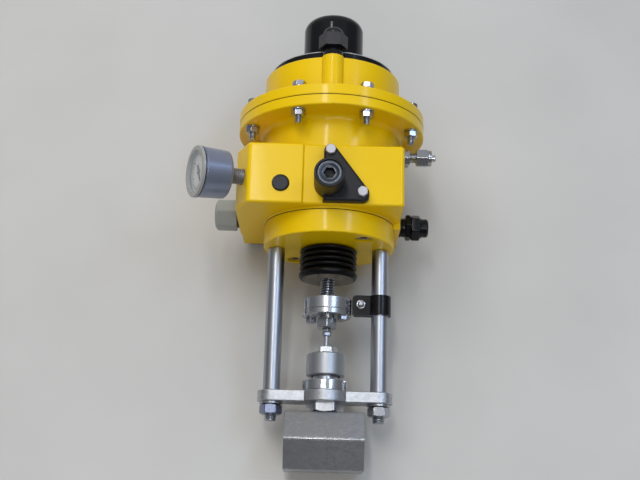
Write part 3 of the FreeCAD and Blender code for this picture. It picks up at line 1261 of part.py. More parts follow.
def gauge_socket():
    """Threaded stem of the gauge."""
    length = GAUGE_SOCKET_DEPTH + GAUGE_SOCKET_SHOWING
    return rod(GAUGE_SOCKET_RADIUS, length, along_gauge(-GAUGE_SOCKET_DEPTH), GAUGE_AXIS)


def gauge_case():
    """Round case, open at the front."""
    length = GAUGE_CASE_LENGTH
    solid = Part.makeCone(GAUGE_CASE_REAR_RADIUS, GAUGE_CASE_RADIUS, length)
    solid = rounded(solid, GAUGE_CASE_ROUND, lambda e: is_circle(e, GAUGE_CASE_REAR_RADIUS, 0))
    foot = V(0, 0, -GAUGE_CASE_HUB)
    hub = Part.makeCone(GAUGE_CASE_HUB_RADIUS - 1.0, GAUGE_CASE_HUB_RADIUS, GAUGE_CASE_HUB, foot)
    hub = hub.cut(rod(GAUGE_SOCKET_RADIUS + FIT_GAP, GAUGE_CASE_HUB, foot))
    solid = solid.fuse(hub)
    hollow = GAUGE_CASE_RADIUS - GAUGE_CASE_WALL
    solid = solid.cut(rod(hollow, GAUGE_DIAL_DEPTH, V(0, 0, length - GAUGE_DIAL_DEPTH)))
    solid.Placement = on_gauge(GAUGE_SOCKET_SHOWING)
    return solid


def gauge_face():
    """Distance of the dial's front face from the facet."""
    return GAUGE_SOCKET_SHOWING + GAUGE_CASE_LENGTH - GAUGE_DIAL_DEPTH + GAUGE_DIAL_THICKNESS


def gauge_dial():
    """Dial plate in the case, with the pin that carries the pointer."""
    plate = rod(
        GAUGE_CASE_RADIUS - GAUGE_CASE_WALL - FIT_GAP,
        GAUGE_DIAL_THICKNESS,
        along_gauge(gauge_face() - GAUGE_DIAL_THICKNESS),
        GAUGE_AXIS,
    )
    pin_length = GAUGE_POINTER_LIFT + GAUGE_POINTER_THICKNESS
    pin = rod(GAUGE_PIN_RADIUS, pin_length, along_gauge(gauge_face()), GAUGE_AXIS)
    return plate.fuse(pin).removeSplitter()


def gauge_pointer():
    """Pointer on its pin, at zero."""
    half = GAUGE_HUB_RADIUS * 0.45
    blade = Part.Face(
        Part.makePolygon(
            [
                V(-half, -GAUGE_POINTER_TAIL, 0),
                V(half, -GAUGE_POINTER_TAIL, 0),
                V(0.3, GAUGE_POINTER_LENGTH, 0),
                V(-0.3, GAUGE_POINTER_LENGTH, 0),
                V(-half, -GAUGE_POINTER_TAIL, 0),
            ]
        )
    ).extrude(V(0, 0, GAUGE_POINTER_THICKNESS))
    solid = blade.fuse(rod(GAUGE_HUB_RADIUS, GAUGE_POINTER_THICKNESS))
    solid = solid.cut(rod(GAUGE_PIN_RADIUS + RUNNING_GAP, GAUGE_POINTER_THICKNESS)).removeSplitter()
    solid.rotate(V(0, 0, 0), Z_AXIS, 135)
    solid.Placement = on_gauge(gauge_face() + GAUGE_POINTER_LIFT).multiply(solid.Placement)
    return solid


def gauge_window():
    """Clear cover with a thick rim, clipped over the case."""
    length = GAUGE_WINDOW_LENGTH
    lap = length - GAUGE_WINDOW_THICKNESS
    start = GAUGE_SOCKET_SHOWING + GAUGE_CASE_LENGTH
    return turned(
        [
            (0, lap),
            (GAUGE_WINDOW_RADIUS - GAUGE_WINDOW_RIM, lap),
            (GAUGE_WINDOW_RADIUS - GAUGE_WINDOW_RIM, 0),
            (GAUGE_WINDOW_RADIUS, 0),
            (GAUGE_WINDOW_RADIUS, length - 1.2),
            (GAUGE_WINDOW_RADIUS - 1.2, length),
            (0, length),
        ],
        along_gauge(start),
        GAUGE_AXIS,
    )


def left_gland_seal():
    """Black seal under the grey gland."""
    base = V(-HOUSING_LEFT, LEFT_GLAND_Y, HOUSING_BOTTOM + LEFT_GLAND_HEIGHT)
    return tube(LEFT_GLAND_SEAL_RADIUS, GLAND_THREAD_RADIUS + FIT_GAP, LEFT_GLAND_SEAL, base, V(-1, 0, 0))


def left_gland():
    """Grey hexagonal gland with a neck, a thread and a bevelled nose."""
    outward = V(-1, 0, 0)
    wall = V(-HOUSING_LEFT, LEFT_GLAND_Y, HOUSING_BOTTOM + LEFT_GLAND_HEIGHT)
    hex_start = wall + outward * (LEFT_GLAND_SEAL + LEFT_GLAND_NECK)
    body = hexagon(LEFT_GLAND_AF, LEFT_GLAND_HEX + LEFT_GLAND_NOSE, hex_start, outward, 30)
    corner = LEFT_GLAND_AF / math.sqrt(3)
    bevel = turned(
        [
            (0, 0),
            (corner + 0.1, 0),
            (corner + 0.1, LEFT_GLAND_HEX),
            (corner - LEFT_GLAND_NOSE * 1.6, LEFT_GLAND_HEX + LEFT_GLAND_NOSE),
            (0, LEFT_GLAND_HEX + LEFT_GLAND_NOSE),
        ],
        hex_start,
        outward,
    )
    body = body.common(bevel)
    body = body.fuse(rod(LEFT_GLAND_NECK_RADIUS, LEFT_GLAND_NECK, wall + outward * LEFT_GLAND_SEAL, outward))
    inner_end = wall - outward * GLAND_THREAD_DEPTH
    thread = rod(GLAND_THREAD_RADIUS, GLAND_THREAD_DEPTH + LEFT_GLAND_SEAL, inner_end, outward)
    return body.fuse(thread).removeSplitter()


def right_gland_body():
    """Body of the black cable gland: thread, neck and fixed hexagon."""
    wall = V(HOUSING_RIGHT, RIGHT_GLAND_Y, HOUSING_BOTTOM + RIGHT_GLAND_HEIGHT)
    thread = rod(GLAND_THREAD_RADIUS, GLAND_THREAD_DEPTH, wall - X_AXIS * GLAND_THREAD_DEPTH, X_AXIS)
    neck = rod(GLAND_THREAD_RADIUS + 0.8, RIGHT_GLAND_NECK, wall, X_AXIS)
    hexed = hexagon(RIGHT_GLAND_AF, RIGHT_GLAND_HEX, wall + X_AXIS * RIGHT_GLAND_NECK, X_AXIS, 0)
    return thread.fuse(neck).fuse(hexed).removeSplitter()


def right_gland_nut():
    """Nut of the black cable gland, with a rounded nose."""
    start = V(HOUSING_RIGHT, RIGHT_GLAND_Y, HOUSING_BOTTOM + RIGHT_GLAND_HEIGHT)
    start = start + X_AXIS * (RIGHT_GLAND_NECK + RIGHT_GLAND_HEX)
    hexed = hexagon(RIGHT_GLAND_AF, RIGHT_GLAND_NUT, start, X_AXIS, 0)
    nose = turned(
        [
            (0, 0),
            (RIGHT_GLAND_NOSE_RADIUS, 0),
            (RIGHT_GLAND_NOSE_RADIUS, RIGHT_GLAND_NOSE - 1.5),
            (RIGHT_GLAND_NOSE_RADIUS - 1.5, RIGHT_GLAND_NOSE),
            (0, RIGHT_GLAND_NOSE),
        ],
        start + X_AXIS * RIGHT_GLAND_NUT,
        X_AXIS,
    )
    return hexed.fuse(nose).removeSplitter()


def tube_start():
    """Middle of the tube fitting's seat on the right wall."""
    return V(HOUSING_RIGHT, TUBE_Y, TUBE_LEVEL)


def tube_fitting_body():
    """Body of the tube fitting: thread, hexagon and threaded neck."""
    wall = tube_start()
    thread = rod(TUBE_THREAD_RADIUS, TUBE_THREAD_DEPTH, wall - X_AXIS * TUBE_THREAD_DEPTH, X_AXIS)
    hexed = hexagon(TUBE_BODY_AF, TUBE_BODY_HEX, wall, X_AXIS, TUBE_HEX_TURN)
    neck = rod(TUBE_NECK_RADIUS, TUBE_NECK, wall + X_AXIS * TUBE_BODY_HEX, X_AXIS)
    return thread.fuse(hexed).fuse(neck).removeSplitter()


def tube_nut():
    """Nut of the tube fitting."""
    start = tube_start() + X_AXIS * (TUBE_BODY_HEX + TUBE_NECK)
    flats = TUBE_NUT_LENGTH - TUBE_NUT_COLLAR
    body = hexagon(TUBE_NUT_AF, flats, start, X_AXIS, TUBE_HEX_TURN)
    body = body.fuse(rod(TUBE_NUT_COLLAR_RADIUS, TUBE_NUT_COLLAR, start + X_AXIS * flats, X_AXIS))
    return body.removeSplitter().cut(rod(TUBE_RADIUS + FIT_GAP, TUBE_NUT_LENGTH, start, X_AXIS))


def tube_stub():
    """Short end of the air tube in the fitting."""
    start = tube_start() + X_AXIS * (TUBE_BODY_HEX + TUBE_NECK)
    length = TUBE_NUT_LENGTH + TUBE_STUB
    return tube(TUBE_RADIUS, TUBE_RADIUS - 1.0, length, start, X_AXIS)


def blanking_plug():
    """Push-in plug in the raised panel."""
    base = V(PLUG_COVER_X, -PANEL_FRONT, HOUSING_BOTTOM + PLUG_COVER_HEIGHT)
    return turned(
        [
            (0, -PLUG_COVER_SHANK),
            (PLUG_COVER_SHANK_RADIUS, -PLUG_COVER_SHANK),
            (PLUG_COVER_SHANK_RADIUS, 0),
            (PLUG_COVER_RADIUS, 0),
            (PLUG_COVER_RADIUS, PLUG_COVER_PROUD / 2),
            (PLUG_COVER_RADIUS - 1.2, PLUG_COVER_PROUD),
            (0, PLUG_COVER_PROUD),
        ],
        base,
        V(0, -1, 0),
    )


def adjuster_point(y):
    """A point on the adjuster's axis."""
    return V(ADJUSTER_X, y, HOUSING_BOTTOM + ADJUSTER_HEIGHT)


def bracket_outline():
    """Outline of the bracket: a long sloping side between two screw lobes, square at the lower left."""
    top = V(BRACKET_TOP_SCREW[0], 0, HOUSING_BOTTOM + BRACKET_TOP_SCREW[1])
    side = V(BRACKET_SIDE_SCREW[0], 0, HOUSING_BOTTOM + BRACKET_SIDE_SCREW[1])
    bottom = HOUSING_BOTTOM + BRACKET_BOTTOM
    r = BRACKET_LOBE_RADIUS
    along = side.sub(top).normalize()
    across = V(-along.z, 0, along.x)
    if across.x < 0:
        across = across.negative()
    top_tangent = top + across * r
    side_tangent = side + across * r
    left_turn = V(top.x - r, 0, top.z)
    crown = top + V(-math.sin(math.radians(20)), 0, math.cos(math.radians(20))) * r
    corner = V(side.x + r, 0, bottom + r)
    corner_mid = V(side.x + r * math.sin(math.pi / 4), 0, bottom + r - r * math.cos(math.pi / 4))
    low_right = V(side.x, 0, bottom)
    low_left = V(left_turn.x, 0, bottom)
    shoulder = side + V(math.cos(math.radians(10)), 0, math.sin(math.radians(10))) * r
    edges = [
        Part.Arc(left_turn, crown, top_tangent).toShape(),
        Part.LineSegment(top_tangent, side_tangent).toShape(),
        Part.Arc(side_tangent, shoulder, V(side.x + r, 0, side.z)).toShape(),
        Part.Arc(corner, corner_mid, low_right).toShape(),
        Part.LineSegment(low_right, low_left).toShape(),
        Part.LineSegment(low_left, left_turn).toShape(),
    ]
    if abs(side.z - corner.z) > 1e-6:
        edges.insert(3, Part.LineSegment(V(side.x + r, 0, side.z), corner).toShape())
    return Part.Wire(edges)


def adjuster_bracket():
    """Black bracket on the front, with the round boss that holds the adjusting screw."""
    front = -HOUSING_FRONT - BRACKET_THICKNESS
    plate = Part.Face(bracket_outline()).extrude(V(0, -BRACKET_THICKNESS, 0))
    plate.translate(V(0, -HOUSING_FRONT, 0))
    plate = rounded(plate, BRACKET_EDGE_ROUND, lambda e: spans(e, 1, front))
    face = -HOUSING_FRONT - BRACKET_BOSS_LENGTH
    boss = rod(BRACKET_BOSS_RADIUS, BRACKET_BOSS_LENGTH, adjuster_point(-HOUSING_FRONT), V(0, -1, 0))
    boss = rounded(boss, ADJUSTER_BOSS_ROUND, lambda e: spans(e, 1, face))
    solid = plate.fuse(boss)
    head_room = ADJUSTER_HEAD + ADJUSTER_HEAD_SUNK
    solid = solid.cut(rod(ADJUSTER_HEAD_RADIUS + RUNNING_GAP, head_room, adjuster_point(face), Y_AXIS))
    depth = -HOUSING_FRONT - face
    solid = solid.cut(rod(ADJUSTER_SHANK_RADIUS + RUNNING_GAP, depth, adjuster_point(face), Y_AXIS))
    for x, z in (BRACKET_TOP_SCREW, BRACKET_SIDE_SCREW):
        point = V(x, -HOUSING_FRONT, HOUSING_BOTTOM + z)
        solid = solid.cut(rod(BRACKET_SCREW_RADIUS + FIT_GAP, BRACKET_THICKNESS, point, V(0, -1, 0)))
    return solid.removeSplitter()


def adjuster_screw():
    """Adjusting screw with a dished face and a hexagon socket."""
    face = -HOUSING_FRONT - BRACKET_BOSS_LENGTH + ADJUSTER_HEAD_SUNK
    shank_end = -HOUSING_FRONT + ADJUSTER_SHANK_GRIP
    solid = rod(ADJUSTER_HEAD_RADIUS, ADJUSTER_HEAD - RUNNING_GAP, adjuster_point(face), Y_AXIS)
    solid = chamfered(solid, 0.5, lambda e: spans(e, 1, face))
    solid = solid.fuse(rod(ADJUSTER_SHANK_RADIUS, shank_end - face, adjuster_point(face), Y_AXIS))
    dish = Part.makeCone(
        ADJUSTER_DISH_RADIUS, ADJUSTER_DISH_RADIUS - 1.5, ADJUSTER_DISH_DEPTH, adjuster_point(face), Y_AXIS
    )
    solid = solid.cut(dish)
    socket = hexagon(ADJUSTER_SOCKET_AF, ADJUSTER_SOCKET_DEPTH, adjuster_point(face), Y_AXIS)
    return solid.cut(socket).removeSplitter()


def bracket_screws():
    """Two hexagon screws that hold the bracket."""
    screws = []
    front = -HOUSING_FRONT - BRACKET_THICKNESS
    for x, z in (BRACKET_TOP_SCREW, BRACKET_SIDE_SCREW):
        point = V(x, front, HOUSING_BOTTOM + z)
        head = hexagon(BRACKET_SCREW_AF, BRACKET_SCREW_HEAD, point, V(0, -1, 0))
        shank = rod(BRACKET_SCREW_RADIUS, BRACKET_THICKNESS + BRACKET_SCREW_GRIP, point, Y_AXIS)
        screws.append(head.fuse(shank).removeSplitter())
    return Part.makeCompound(screws)


PIECES = {
    "valve_body": valve_body,
    "seat_ring": seat_ring,
    "valve_stem": valve_stem,
    "bonnet": bonnet,
    "packing_nut": packing_nut,
    "gland_screw": gland_screw,
    "packing_rings": packing_rings,
    "yoke_bar": yoke_bar,
    "slotted_nut": slotted_nut,
    "pillars": pillars,
    "yoke_washers": yoke_washers,
    "yoke_nuts": yoke_nuts,
    "jam_nuts": jam_nuts,
    "stem_adapter": stem_adapter,
    "coupling_lower": coupling_lower,
    "coupling_upper": coupling_upper,
    "coupling_bolts": coupling_bolts,
    "spindle": spindle,
    "indicator_clamp": indicator_clamp,
    "clamp_screw": clamp_screw,
    "clamp_nut": clamp_nut,
    "bellows": bellows,
    "bottom_flange": bottom_flange,
    "flange_screws": flange_screws,
    "spindle_bush": spindle_bush,
    "spindle_seal": spindle_seal,
    "lower_casing": lower_casing,
    "positioner_module": positioner_module,
    "rear_cover": rear_cover,
    "rear_cover_screws": rear_cover_screws,
    "upper_casing": upper_casing,
    "diaphragm": diaphragm,
    "diaphragm_plate": diaphragm_plate,
    "diaphragm_nut": diaphragm_nut,
    "range_spring": range_spring,
    "casing_bolts": casing_bolts,
    "casing_washers": casing_washers,
    "casing_nuts": casing_nuts,
    "top_plate": top_plate,
    "cap": cap,
    "stop_screw": stop_screw,
    "stop_nut": stop_nut,
    "vent_body": vent_body,
    "vent_cap": vent_cap,
    "gauge_socket": gauge_socket,
    "gauge_case": gauge_case,
    "gauge_dial": gauge_dial,
    "gauge_pointer": gauge_pointer,
    "gauge_window": gauge_window,
    "left_gland_seal": left_gland_seal,
    "left_gland": left_gland,
    "right_gland_body": right_gland_body,
    "right_gland_nut": right_gland_nut,
    "tube_fitting_body": tube_fitting_body,
    "tube_nut": tube_nut,
    "tube_stub": tube_stub,
    "blanking_plug": blanking_plug,
    "adjuster_bracket": adjuster_bracket,
    "adjuster_screw": adjuster_screw,
    "bracket_screws": bracket_screws,
}


def main():
    os.makedirs("parts", exist_ok=True)
    for name, make in PIECES.items():
        make().exportStep(f"parts/{name}.step")


main()
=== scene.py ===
import math

import bmesh
import bpy
from mathutils import Matrix, Vector


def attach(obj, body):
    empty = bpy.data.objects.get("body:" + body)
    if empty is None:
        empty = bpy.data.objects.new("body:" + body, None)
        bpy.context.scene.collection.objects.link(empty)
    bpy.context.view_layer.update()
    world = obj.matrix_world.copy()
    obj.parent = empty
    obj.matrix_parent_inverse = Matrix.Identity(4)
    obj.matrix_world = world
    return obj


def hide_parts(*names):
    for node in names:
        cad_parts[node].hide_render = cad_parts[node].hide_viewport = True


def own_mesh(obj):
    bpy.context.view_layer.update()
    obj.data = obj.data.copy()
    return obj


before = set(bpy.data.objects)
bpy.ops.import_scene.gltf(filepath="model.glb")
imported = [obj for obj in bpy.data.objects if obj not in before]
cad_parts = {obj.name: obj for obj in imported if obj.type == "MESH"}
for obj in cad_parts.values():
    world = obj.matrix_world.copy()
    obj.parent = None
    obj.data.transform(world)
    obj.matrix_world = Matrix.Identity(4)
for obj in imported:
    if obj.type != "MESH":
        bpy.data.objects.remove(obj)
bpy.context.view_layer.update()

# A pneumatic control valve, laid on its back on a pale floor.
# Lengths are in millimetres and become metres in the mesh.
MM = 0.001

# Heights on the upright axis, from the body's ports to the top plate
PORT_LEVEL = 23.0
BODY_TOP = 46.0
BAR_LOW = 54.0
BAR_TOP = 63.0
PACKING_NUT_LOW = 75.8
PACKING_NUT_TOP = 93.9
JAM_NUTS_LOW = 109.3
ADAPTER_LOW = 115.3
COUPLING_LOW = 125.0
COUPLING_SPLIT = 129.6
CLAMP_LEVEL = 135.25
BELLOWS_LOW = 156.6
FLANGE_LOW = 183.0
FLANGE_TOP = 202.0
SPINDLE_COLLAR_LOW = 280.1
JOINT_LOW = 281.6
JOINT_MIDDLE = 290.5
JOINT_TOP = 300.0
PLATE_TOP = 340.5

# Main sizes
BODY_ACROSS = 46.0
BODY_HALF = 32.0
PORT_RADIUS = 9.3
PILLAR_X = 43.5
STUD_RADIUS = 5.0
COUPLING_RADIUS = 20.2
FLANGE_RADIUS = 54.7
JOINT_RADIUS = 79.5
JOINT_BOLT_CIRCLE = 72.0
PLATE_RADIUS = 53.0
TUBE_RADIUS = 3.0

# Walls of the positioner's housing, and the pieces' places on them
LEFT_WALL = -77.2
RIGHT_WALL = 59.3
PANEL = -60.5
FACET_WIDTH = 24.4
GAUGE_ANGLE = math.radians(26.0)
GAUGE_DROOP = math.radians(3.5)
GAUGE_FOOT = (
    LEFT_WALL + FACET_WIDTH / 2 * math.sin(GAUGE_ANGLE),
    PANEL + FACET_WIDTH / 2 * math.cos(GAUGE_ANGLE),
    228.4,
)
GAUGE_OUTWARD = (
    -math.cos(GAUGE_ANGLE) * math.cos(GAUGE_DROOP),
    -math.sin(GAUGE_ANGLE) * math.cos(GAUGE_DROOP),
    -math.sin(GAUGE_DROOP),
)
POINTER_AIM = (2.411, -3.217, -12.366)
LEFT_GLAND_FOOT = (LEFT_WALL, 18.0, 217.0)
RIGHT_GLAND_FOOT = (RIGHT_WALL, 20.0, 210.6)
TUBE_FITTING_FOOT = (RIGHT_WALL, -22.0, 259.2)
PANEL_PLUG_FOOT = (-40.1, PANEL, 220.5)
ADJUSTER_FACE = (-1.2, -87.2, 220.9)
BRACKET_FACE = -66.0
BRACKET_SCREWS = ((-0.6, 247.6), (25.4, 212.6))
CLAMP_SCREW_X = 27.55
COVER_FACE = 66.2
COVER_SCREWS_X = (-67.3, 51.2)
COVER_SCREWS_Z = (212.1, 246.9)


# Materials
IOR = 1.5
COAT_ROUGH = 0.08
FINE_PER_BROAD = 14
# How much brighter the painted highlight on ridges is, and its roughness
RIDGE_HIGHLIGHT_BRIGHTER = 2.6
RIDGE_HIGHLIGHT_ROUGH = 0.3


def srgb(red, green, blue):
    """Linear colour of 0-255 display values."""
    out = []
    for value in (red, green, blue):
        c = value / 255
        out.append(c / 12.92 if c <= 0.04045 else ((c + 0.055) / 1.055) ** 2.4)
    return (*out, 1.0)


class Nodes:
    """A material's node tree, with short calls for the nodes that the finishes need."""

    def __init__(self, name):
        self.material = bpy.data.materials.new(name)
        self.material.use_nodes = True
        self.tree = self.material.node_tree
        self.shader = self.tree.nodes["Principled BSDF"]
        self.place = self.tree.nodes.new("ShaderNodeTexCoord").outputs["Object"]

    def node(self, kind, **settings):
        made = self.tree.nodes.new(kind)
        for key, value in settings.items():
            setattr(made, key, value)
        return made

    def link(self, source, target):
        self.tree.links.new(source, target)

    def noise(self, scale, stretch=(1, 1, 1), detail=3, rough=0.55):
        """Noise whose features are about 1/scale metres wide, drawn out along axes with small stretch."""
        mapping = self.node("ShaderNodeMapping")
        mapping.inputs["Scale"].default_value = [scale * s for s in stretch]
        self.link(self.place, mapping.inputs["Vector"])
        made = self.node("ShaderNodeTexNoise")
        made.inputs["Scale"].default_value = 1.0
        made.inputs["Detail"].default_value = detail
        made.inputs["Roughness"].default_value = rough
        self.link(mapping.outputs["Vector"], made.inputs["Vector"])
        return made.outputs["Fac"]

    def spread(self, fac, low, high, start=0.3, end=0.7):
        """A value that goes from low to high while fac goes from start to end."""
        made = self.node("ShaderNodeMapRange")
        made.inputs["From Min"].default_value = start
        made.inputs["From Max"].default_value = end
        made.inputs["To Max"].default_value = high
        if isinstance(low, (int, float)):
            made.inputs["To Min"].default_value = low
        else:
            self.link(low, made.inputs["To Min"])
        self.link(fac, made.inputs["Value"])
        return made.outputs["Result"]

    def ridge_highlight_mask(self, reach):
        """Painted highlight mask: 1 on the ridges that stand this far in front of or behind the middle, and
        0 elsewhere.
        """
        split = self.node("ShaderNodeSeparateXYZ")
        self.link(self.place, split.inputs[0])
        depth = self.node("ShaderNodeMath", operation="ABSOLUTE")
        self.link(split.outputs["Y"], depth.inputs[0])
        ragged = self.node("ShaderNodeMath", operation="ADD")
        self.link(depth.outputs[0], ragged.inputs[0])
        streaks = self.noise(320, (1, 0.2, 0.2), 4, 0.7)
        self.link(self.spread(streaks, -0.4 * MM, 0.35 * MM), ragged.inputs[1])
        return self.spread(ragged.outputs[0], 0, 1, (reach - 0.5) * MM, (reach - 0.15) * MM)

    def mix(self, fac, first, second):
        """A colour between two, by a value."""
        made = self.node("ShaderNodeMix", data_type="RGBA", blend_type="MIX")
        self.link(fac, made.inputs[0])
        for index, value in ((6, first), (7, second)):
            if isinstance(value, tuple):
                made.inputs[index].default_value = value
            else:
                self.link(value, made.inputs[index])
        return made.outputs[2]

    def bump(self, height, depth, after=None):
        """A bump of this depth in metres, on top of another normal if one is given."""
        made = self.node("ShaderNodeBump")
        made.inputs["Strength"].default_value = 1.0
        made.inputs["Distance"].default_value = depth
        self.link(height, made.inputs["Height"])
        if after is not None:
            self.link(after, made.inputs["Normal"])
        return made.outputs["Normal"]


def scaled(color, factor):
    """A colour made darker or brighter."""
    return (*[min(1.0, c * factor) for c in color[:3]], 1.0)


def finish(name, color, rough, metallic=0.0, vary=(0.06, 40), grain=None, bumps=(), coat=0.0, edge=0.0,
           specular=0.5, ridge=0.0):
    """A surface whose colour and gloss vary a little.

    Color is in display values, rough is (middle, spread), vary is the colour's (spread, scale), a grain is
    (scale, stretch, amount) and a bump is (scale, depth). Edge is the radius of edges that seem round, and
    ridge is how far the ridges that get a painted highlight, a brighter colour, stand out.
    """
    color = srgb(*color)
    rough_middle, rough_spread = rough
    color_spread, color_scale = vary
    nodes = Nodes(name)
    shader = nodes.shader.inputs
    broad = nodes.spread(nodes.noise(color_scale, detail=4), 0, 1)
    base = nodes.mix(broad, scaled(color, 1 - color_spread), scaled(color, 1 + color_spread))
    if grain:
        scale, stretch, amount = grain
        fine = nodes.noise(scale, stretch)
        base = nodes.mix(nodes.spread(fine, 0, 1), base, scaled(color, 1 - amount))
    else:
        fine = nodes.noise(color_scale * FINE_PER_BROAD, detail=2)
    gloss = nodes.spread(fine, max(0.02, rough_middle - rough_spread), min(1, rough_middle + rough_spread))
    # Ridges get a painted highlight: a brighter colour with its own roughness, on a mask along them
    if ridge:
        worn = nodes.ridge_highlight_mask(ridge)
        base = nodes.mix(worn, base, scaled(color, RIDGE_HIGHLIGHT_BRIGHTER))
        gloss = nodes.spread(worn, gloss, RIDGE_HIGHLIGHT_ROUGH, 0, 1)
    nodes.link(base, shader["Base Color"])
    nodes.link(gloss, shader["Roughness"])
    shader["Metallic"].default_value = metallic
    shader["IOR"].default_value = IOR
    shader["Coat Weight"].default_value = coat
    shader["Coat Roughness"].default_value = COAT_ROUGH
    shader["Specular IOR Level"].default_value = specular
    normal = None
    if edge:
        bevel = nodes.node("ShaderNodeBevel", samples=6)
        bevel.inputs["Radius"].default_value = edge * MM
        normal = bevel.outputs["Normal"]
    for scale, depth in bumps:
        normal = nodes.bump(nodes.noise(scale), depth * MM, normal)
    if normal is not None:
        nodes.link(normal, shader["Normal"])
    return nodes.material


def clear_plastic():
    """The gauge's clear window."""
    nodes = Nodes("plastic_clear")
    shader = nodes.shader.inputs
    shader["Base Color"].default_value = srgb(214, 220, 222)
    shader["Alpha"].default_value = 0.2
    nodes.link(nodes.spread(nodes.noise(300), 0.04, 0.1), shader["Roughness"])
    return nodes.material


ROUND_Z = (0.05, 0.05, 1)
PAINT = finish("paint_yellow", (230, 190, 0), (0.34, 0.03), vary=(0.02, 25), coat=0.22, edge=0.5,
               bumps=((70, 0.015),), specular=0.2)
# The bar stock's ridges get a painted highlight
BAR_STOCK = finish("steel_bar_stock", (187, 189, 193), (0.46, 0.12), 1.0, vary=(0.16, 260),
                   grain=(900, (0.3, 1, 1), 0.16), bumps=((300, 0.03), (1100, 0.012)), edge=0.35, ridge=26.3)
TURNED = finish("steel_turned", (192, 194, 198), (0.27, 0.01), 1.0, vary=(0.03, 120),
                grain=(3200, ROUND_Z, 0.03), edge=0.3)
SATIN = finish("steel_satin", (190, 192, 196), (0.45, 0.05), 1.0, vary=(0.04, 160),
               grain=(2600, ROUND_Z, 0.06), bumps=((2600, 0.003),), edge=0.4)
GROUND = finish("steel_ground", (176, 178, 184), (0.36, 0.02), 1.0, vary=(0.03, 40))
# Darker steel for thread roots, a painted shade in the grooves
THREAD_ROOT_SHADE = finish("steel_thread_root_painted_shade", (112, 115, 122), (0.45, 0.06), 1.0, vary=(0.1, 300))
SCREWED = finish("steel_thread", (196, 199, 208), (0.3, 0.06), 1.0, vary=(0.08, 300))
CAST_STEEL = finish("steel_cast", (193, 195, 199), (0.42, 0.1), 1.0, vary=(0.14, 320),
                    bumps=((420, 0.2), (1300, 0.07)), edge=0.6)
FITTING = finish("steel_fitting", (186, 188, 192), (0.17, 0.01), 1.0, vary=(0.02, 80), edge=0.5)
POLISHED = finish("steel_polished", (200, 202, 207), (0.2, 0.04), 1.0, vary=(0.03, 120), edge=0.2)
# Blue-tinted steel for the left yoke nut, a painted reflection of the blue window light
ZINC_BLUE_REFLECTION = finish("steel_fastener_painted_blue_reflection", (132, 140, 164), (0.3, 0.06), 0.9, vary=(0.06, 250), edge=0.2)
ZINC = finish("steel_fastener", (180, 182, 188), (0.25, 0.04), 1.0, vary=(0.06, 250), bumps=((1800, 0.003),),
              edge=0.2)
PALE_ZINC = finish("steel_fastener_pale", (186, 184, 190), (0.5, 0.06), 0.5, vary=(0.04, 500),
                   bumps=((1800, 0.004),), edge=0.2)
GLOSS_BLACK = finish("paint_gloss_black", (16, 17, 18), (0.13, 0.02), vary=(0.1, 60), edge=0.6, specular=0.3)
BLACK_PLASTIC = finish("plastic_black", (12, 12, 15), (0.25, 0.05), vary=(0.1, 140), bumps=((1400, 0.004),),
                       edge=0.4, specular=0.25)
VENT_PLASTIC = finish("plastic_vent", (20, 20, 27), (0.32, 0.05), vary=(0.1, 140), edge=0.4)
BLACK_PAINT = finish("paint_black_satin", (24, 24, 28), (0.42, 0.06), vary=(0.12, 140),
                     bumps=((900, 0.012), (2400, 0.004)), edge=0.5, specular=0.3)
RUBBER = finish("rubber_black", (5, 5, 6), (0.34, 0.06), vary=(0.15, 120), bumps=((700, 0.006),), edge=0.2,
                specular=0.25)
# Pale grey for a ring on the top plate's upper edge, a painted highlight
PLATE_EDGE_HIGHLIGHT = finish("plate_edge_painted_highlight", (196, 198, 202), (0.35, 0.1), 0.3, vary=(0.2, 90))
# Dull grey for the plug's face, inside a black rim that is a painted shade of the gap around it
PLUG_FACE_PLASTIC = finish("plastic_plug_face", (44, 45, 48), (0.55, 0.08), vary=(0.15, 300), bumps=((900, 0.01),),
                      specular=0.4)
# Pale grey-brown for the bellows' hollow underside, a painted reflection of the floor's light
RUBBER_FLOOR_REFLECTION = finish("rubber_painted_floor_reflection", (128, 121, 112), (0.7, 0.08), vary=(0.12, 150), bumps=((700, 0.01),))
BLUED = finish("steel_blued", (82, 86, 94), (0.34, 0.06), 0.85, vary=(0.1, 200), bumps=((2000, 0.003),),
               edge=0.3)
GAUGE_CASE = finish("plastic_gauge", (140, 146, 164), (0.3, 0.01), 0.65, vary=(0.03, 60), edge=0.4)
GAUGE_THREAD = finish("steel_gauge_thread", (124, 122, 124), (0.4, 0.08), 0.6, vary=(0.12, 400))
FROSTED = finish("plastic_frosted", (150, 151, 148), (0.3, 0.06), vary=(0.03, 90), coat=0.2, edge=0.25)
DIAL = finish("dial_white", (222, 222, 216), (0.6, 0.05), vary=(0.02, 80))
INK = finish("dial_ink", (36, 37, 40), (0.6, 0.05), vary=(0.05, 40))
POINTER = finish("pointer_black", (20, 20, 20), (0.5, 0.05), vary=(0.05, 40))
GREY_PLASTIC = finish("plastic_grey", (150, 153, 150), (0.4, 0.05), vary=(0.04, 120), bumps=((900, 0.006),),
                      edge=0.5)
BRONZE = finish("bronze", (176, 136, 84), (0.35, 0.05), 1.0)
PACKING = finish("packing_white", (228, 228, 222), (0.7, 0.05))
SPRING = finish("spring_green", (60, 92, 64), (0.4, 0.05))
ALUMINIUM = finish("aluminium", (200, 201, 204), (0.35, 0.05), 1.0, grain=(2200, ROUND_Z, 0.08))
CLEAR = clear_plastic()

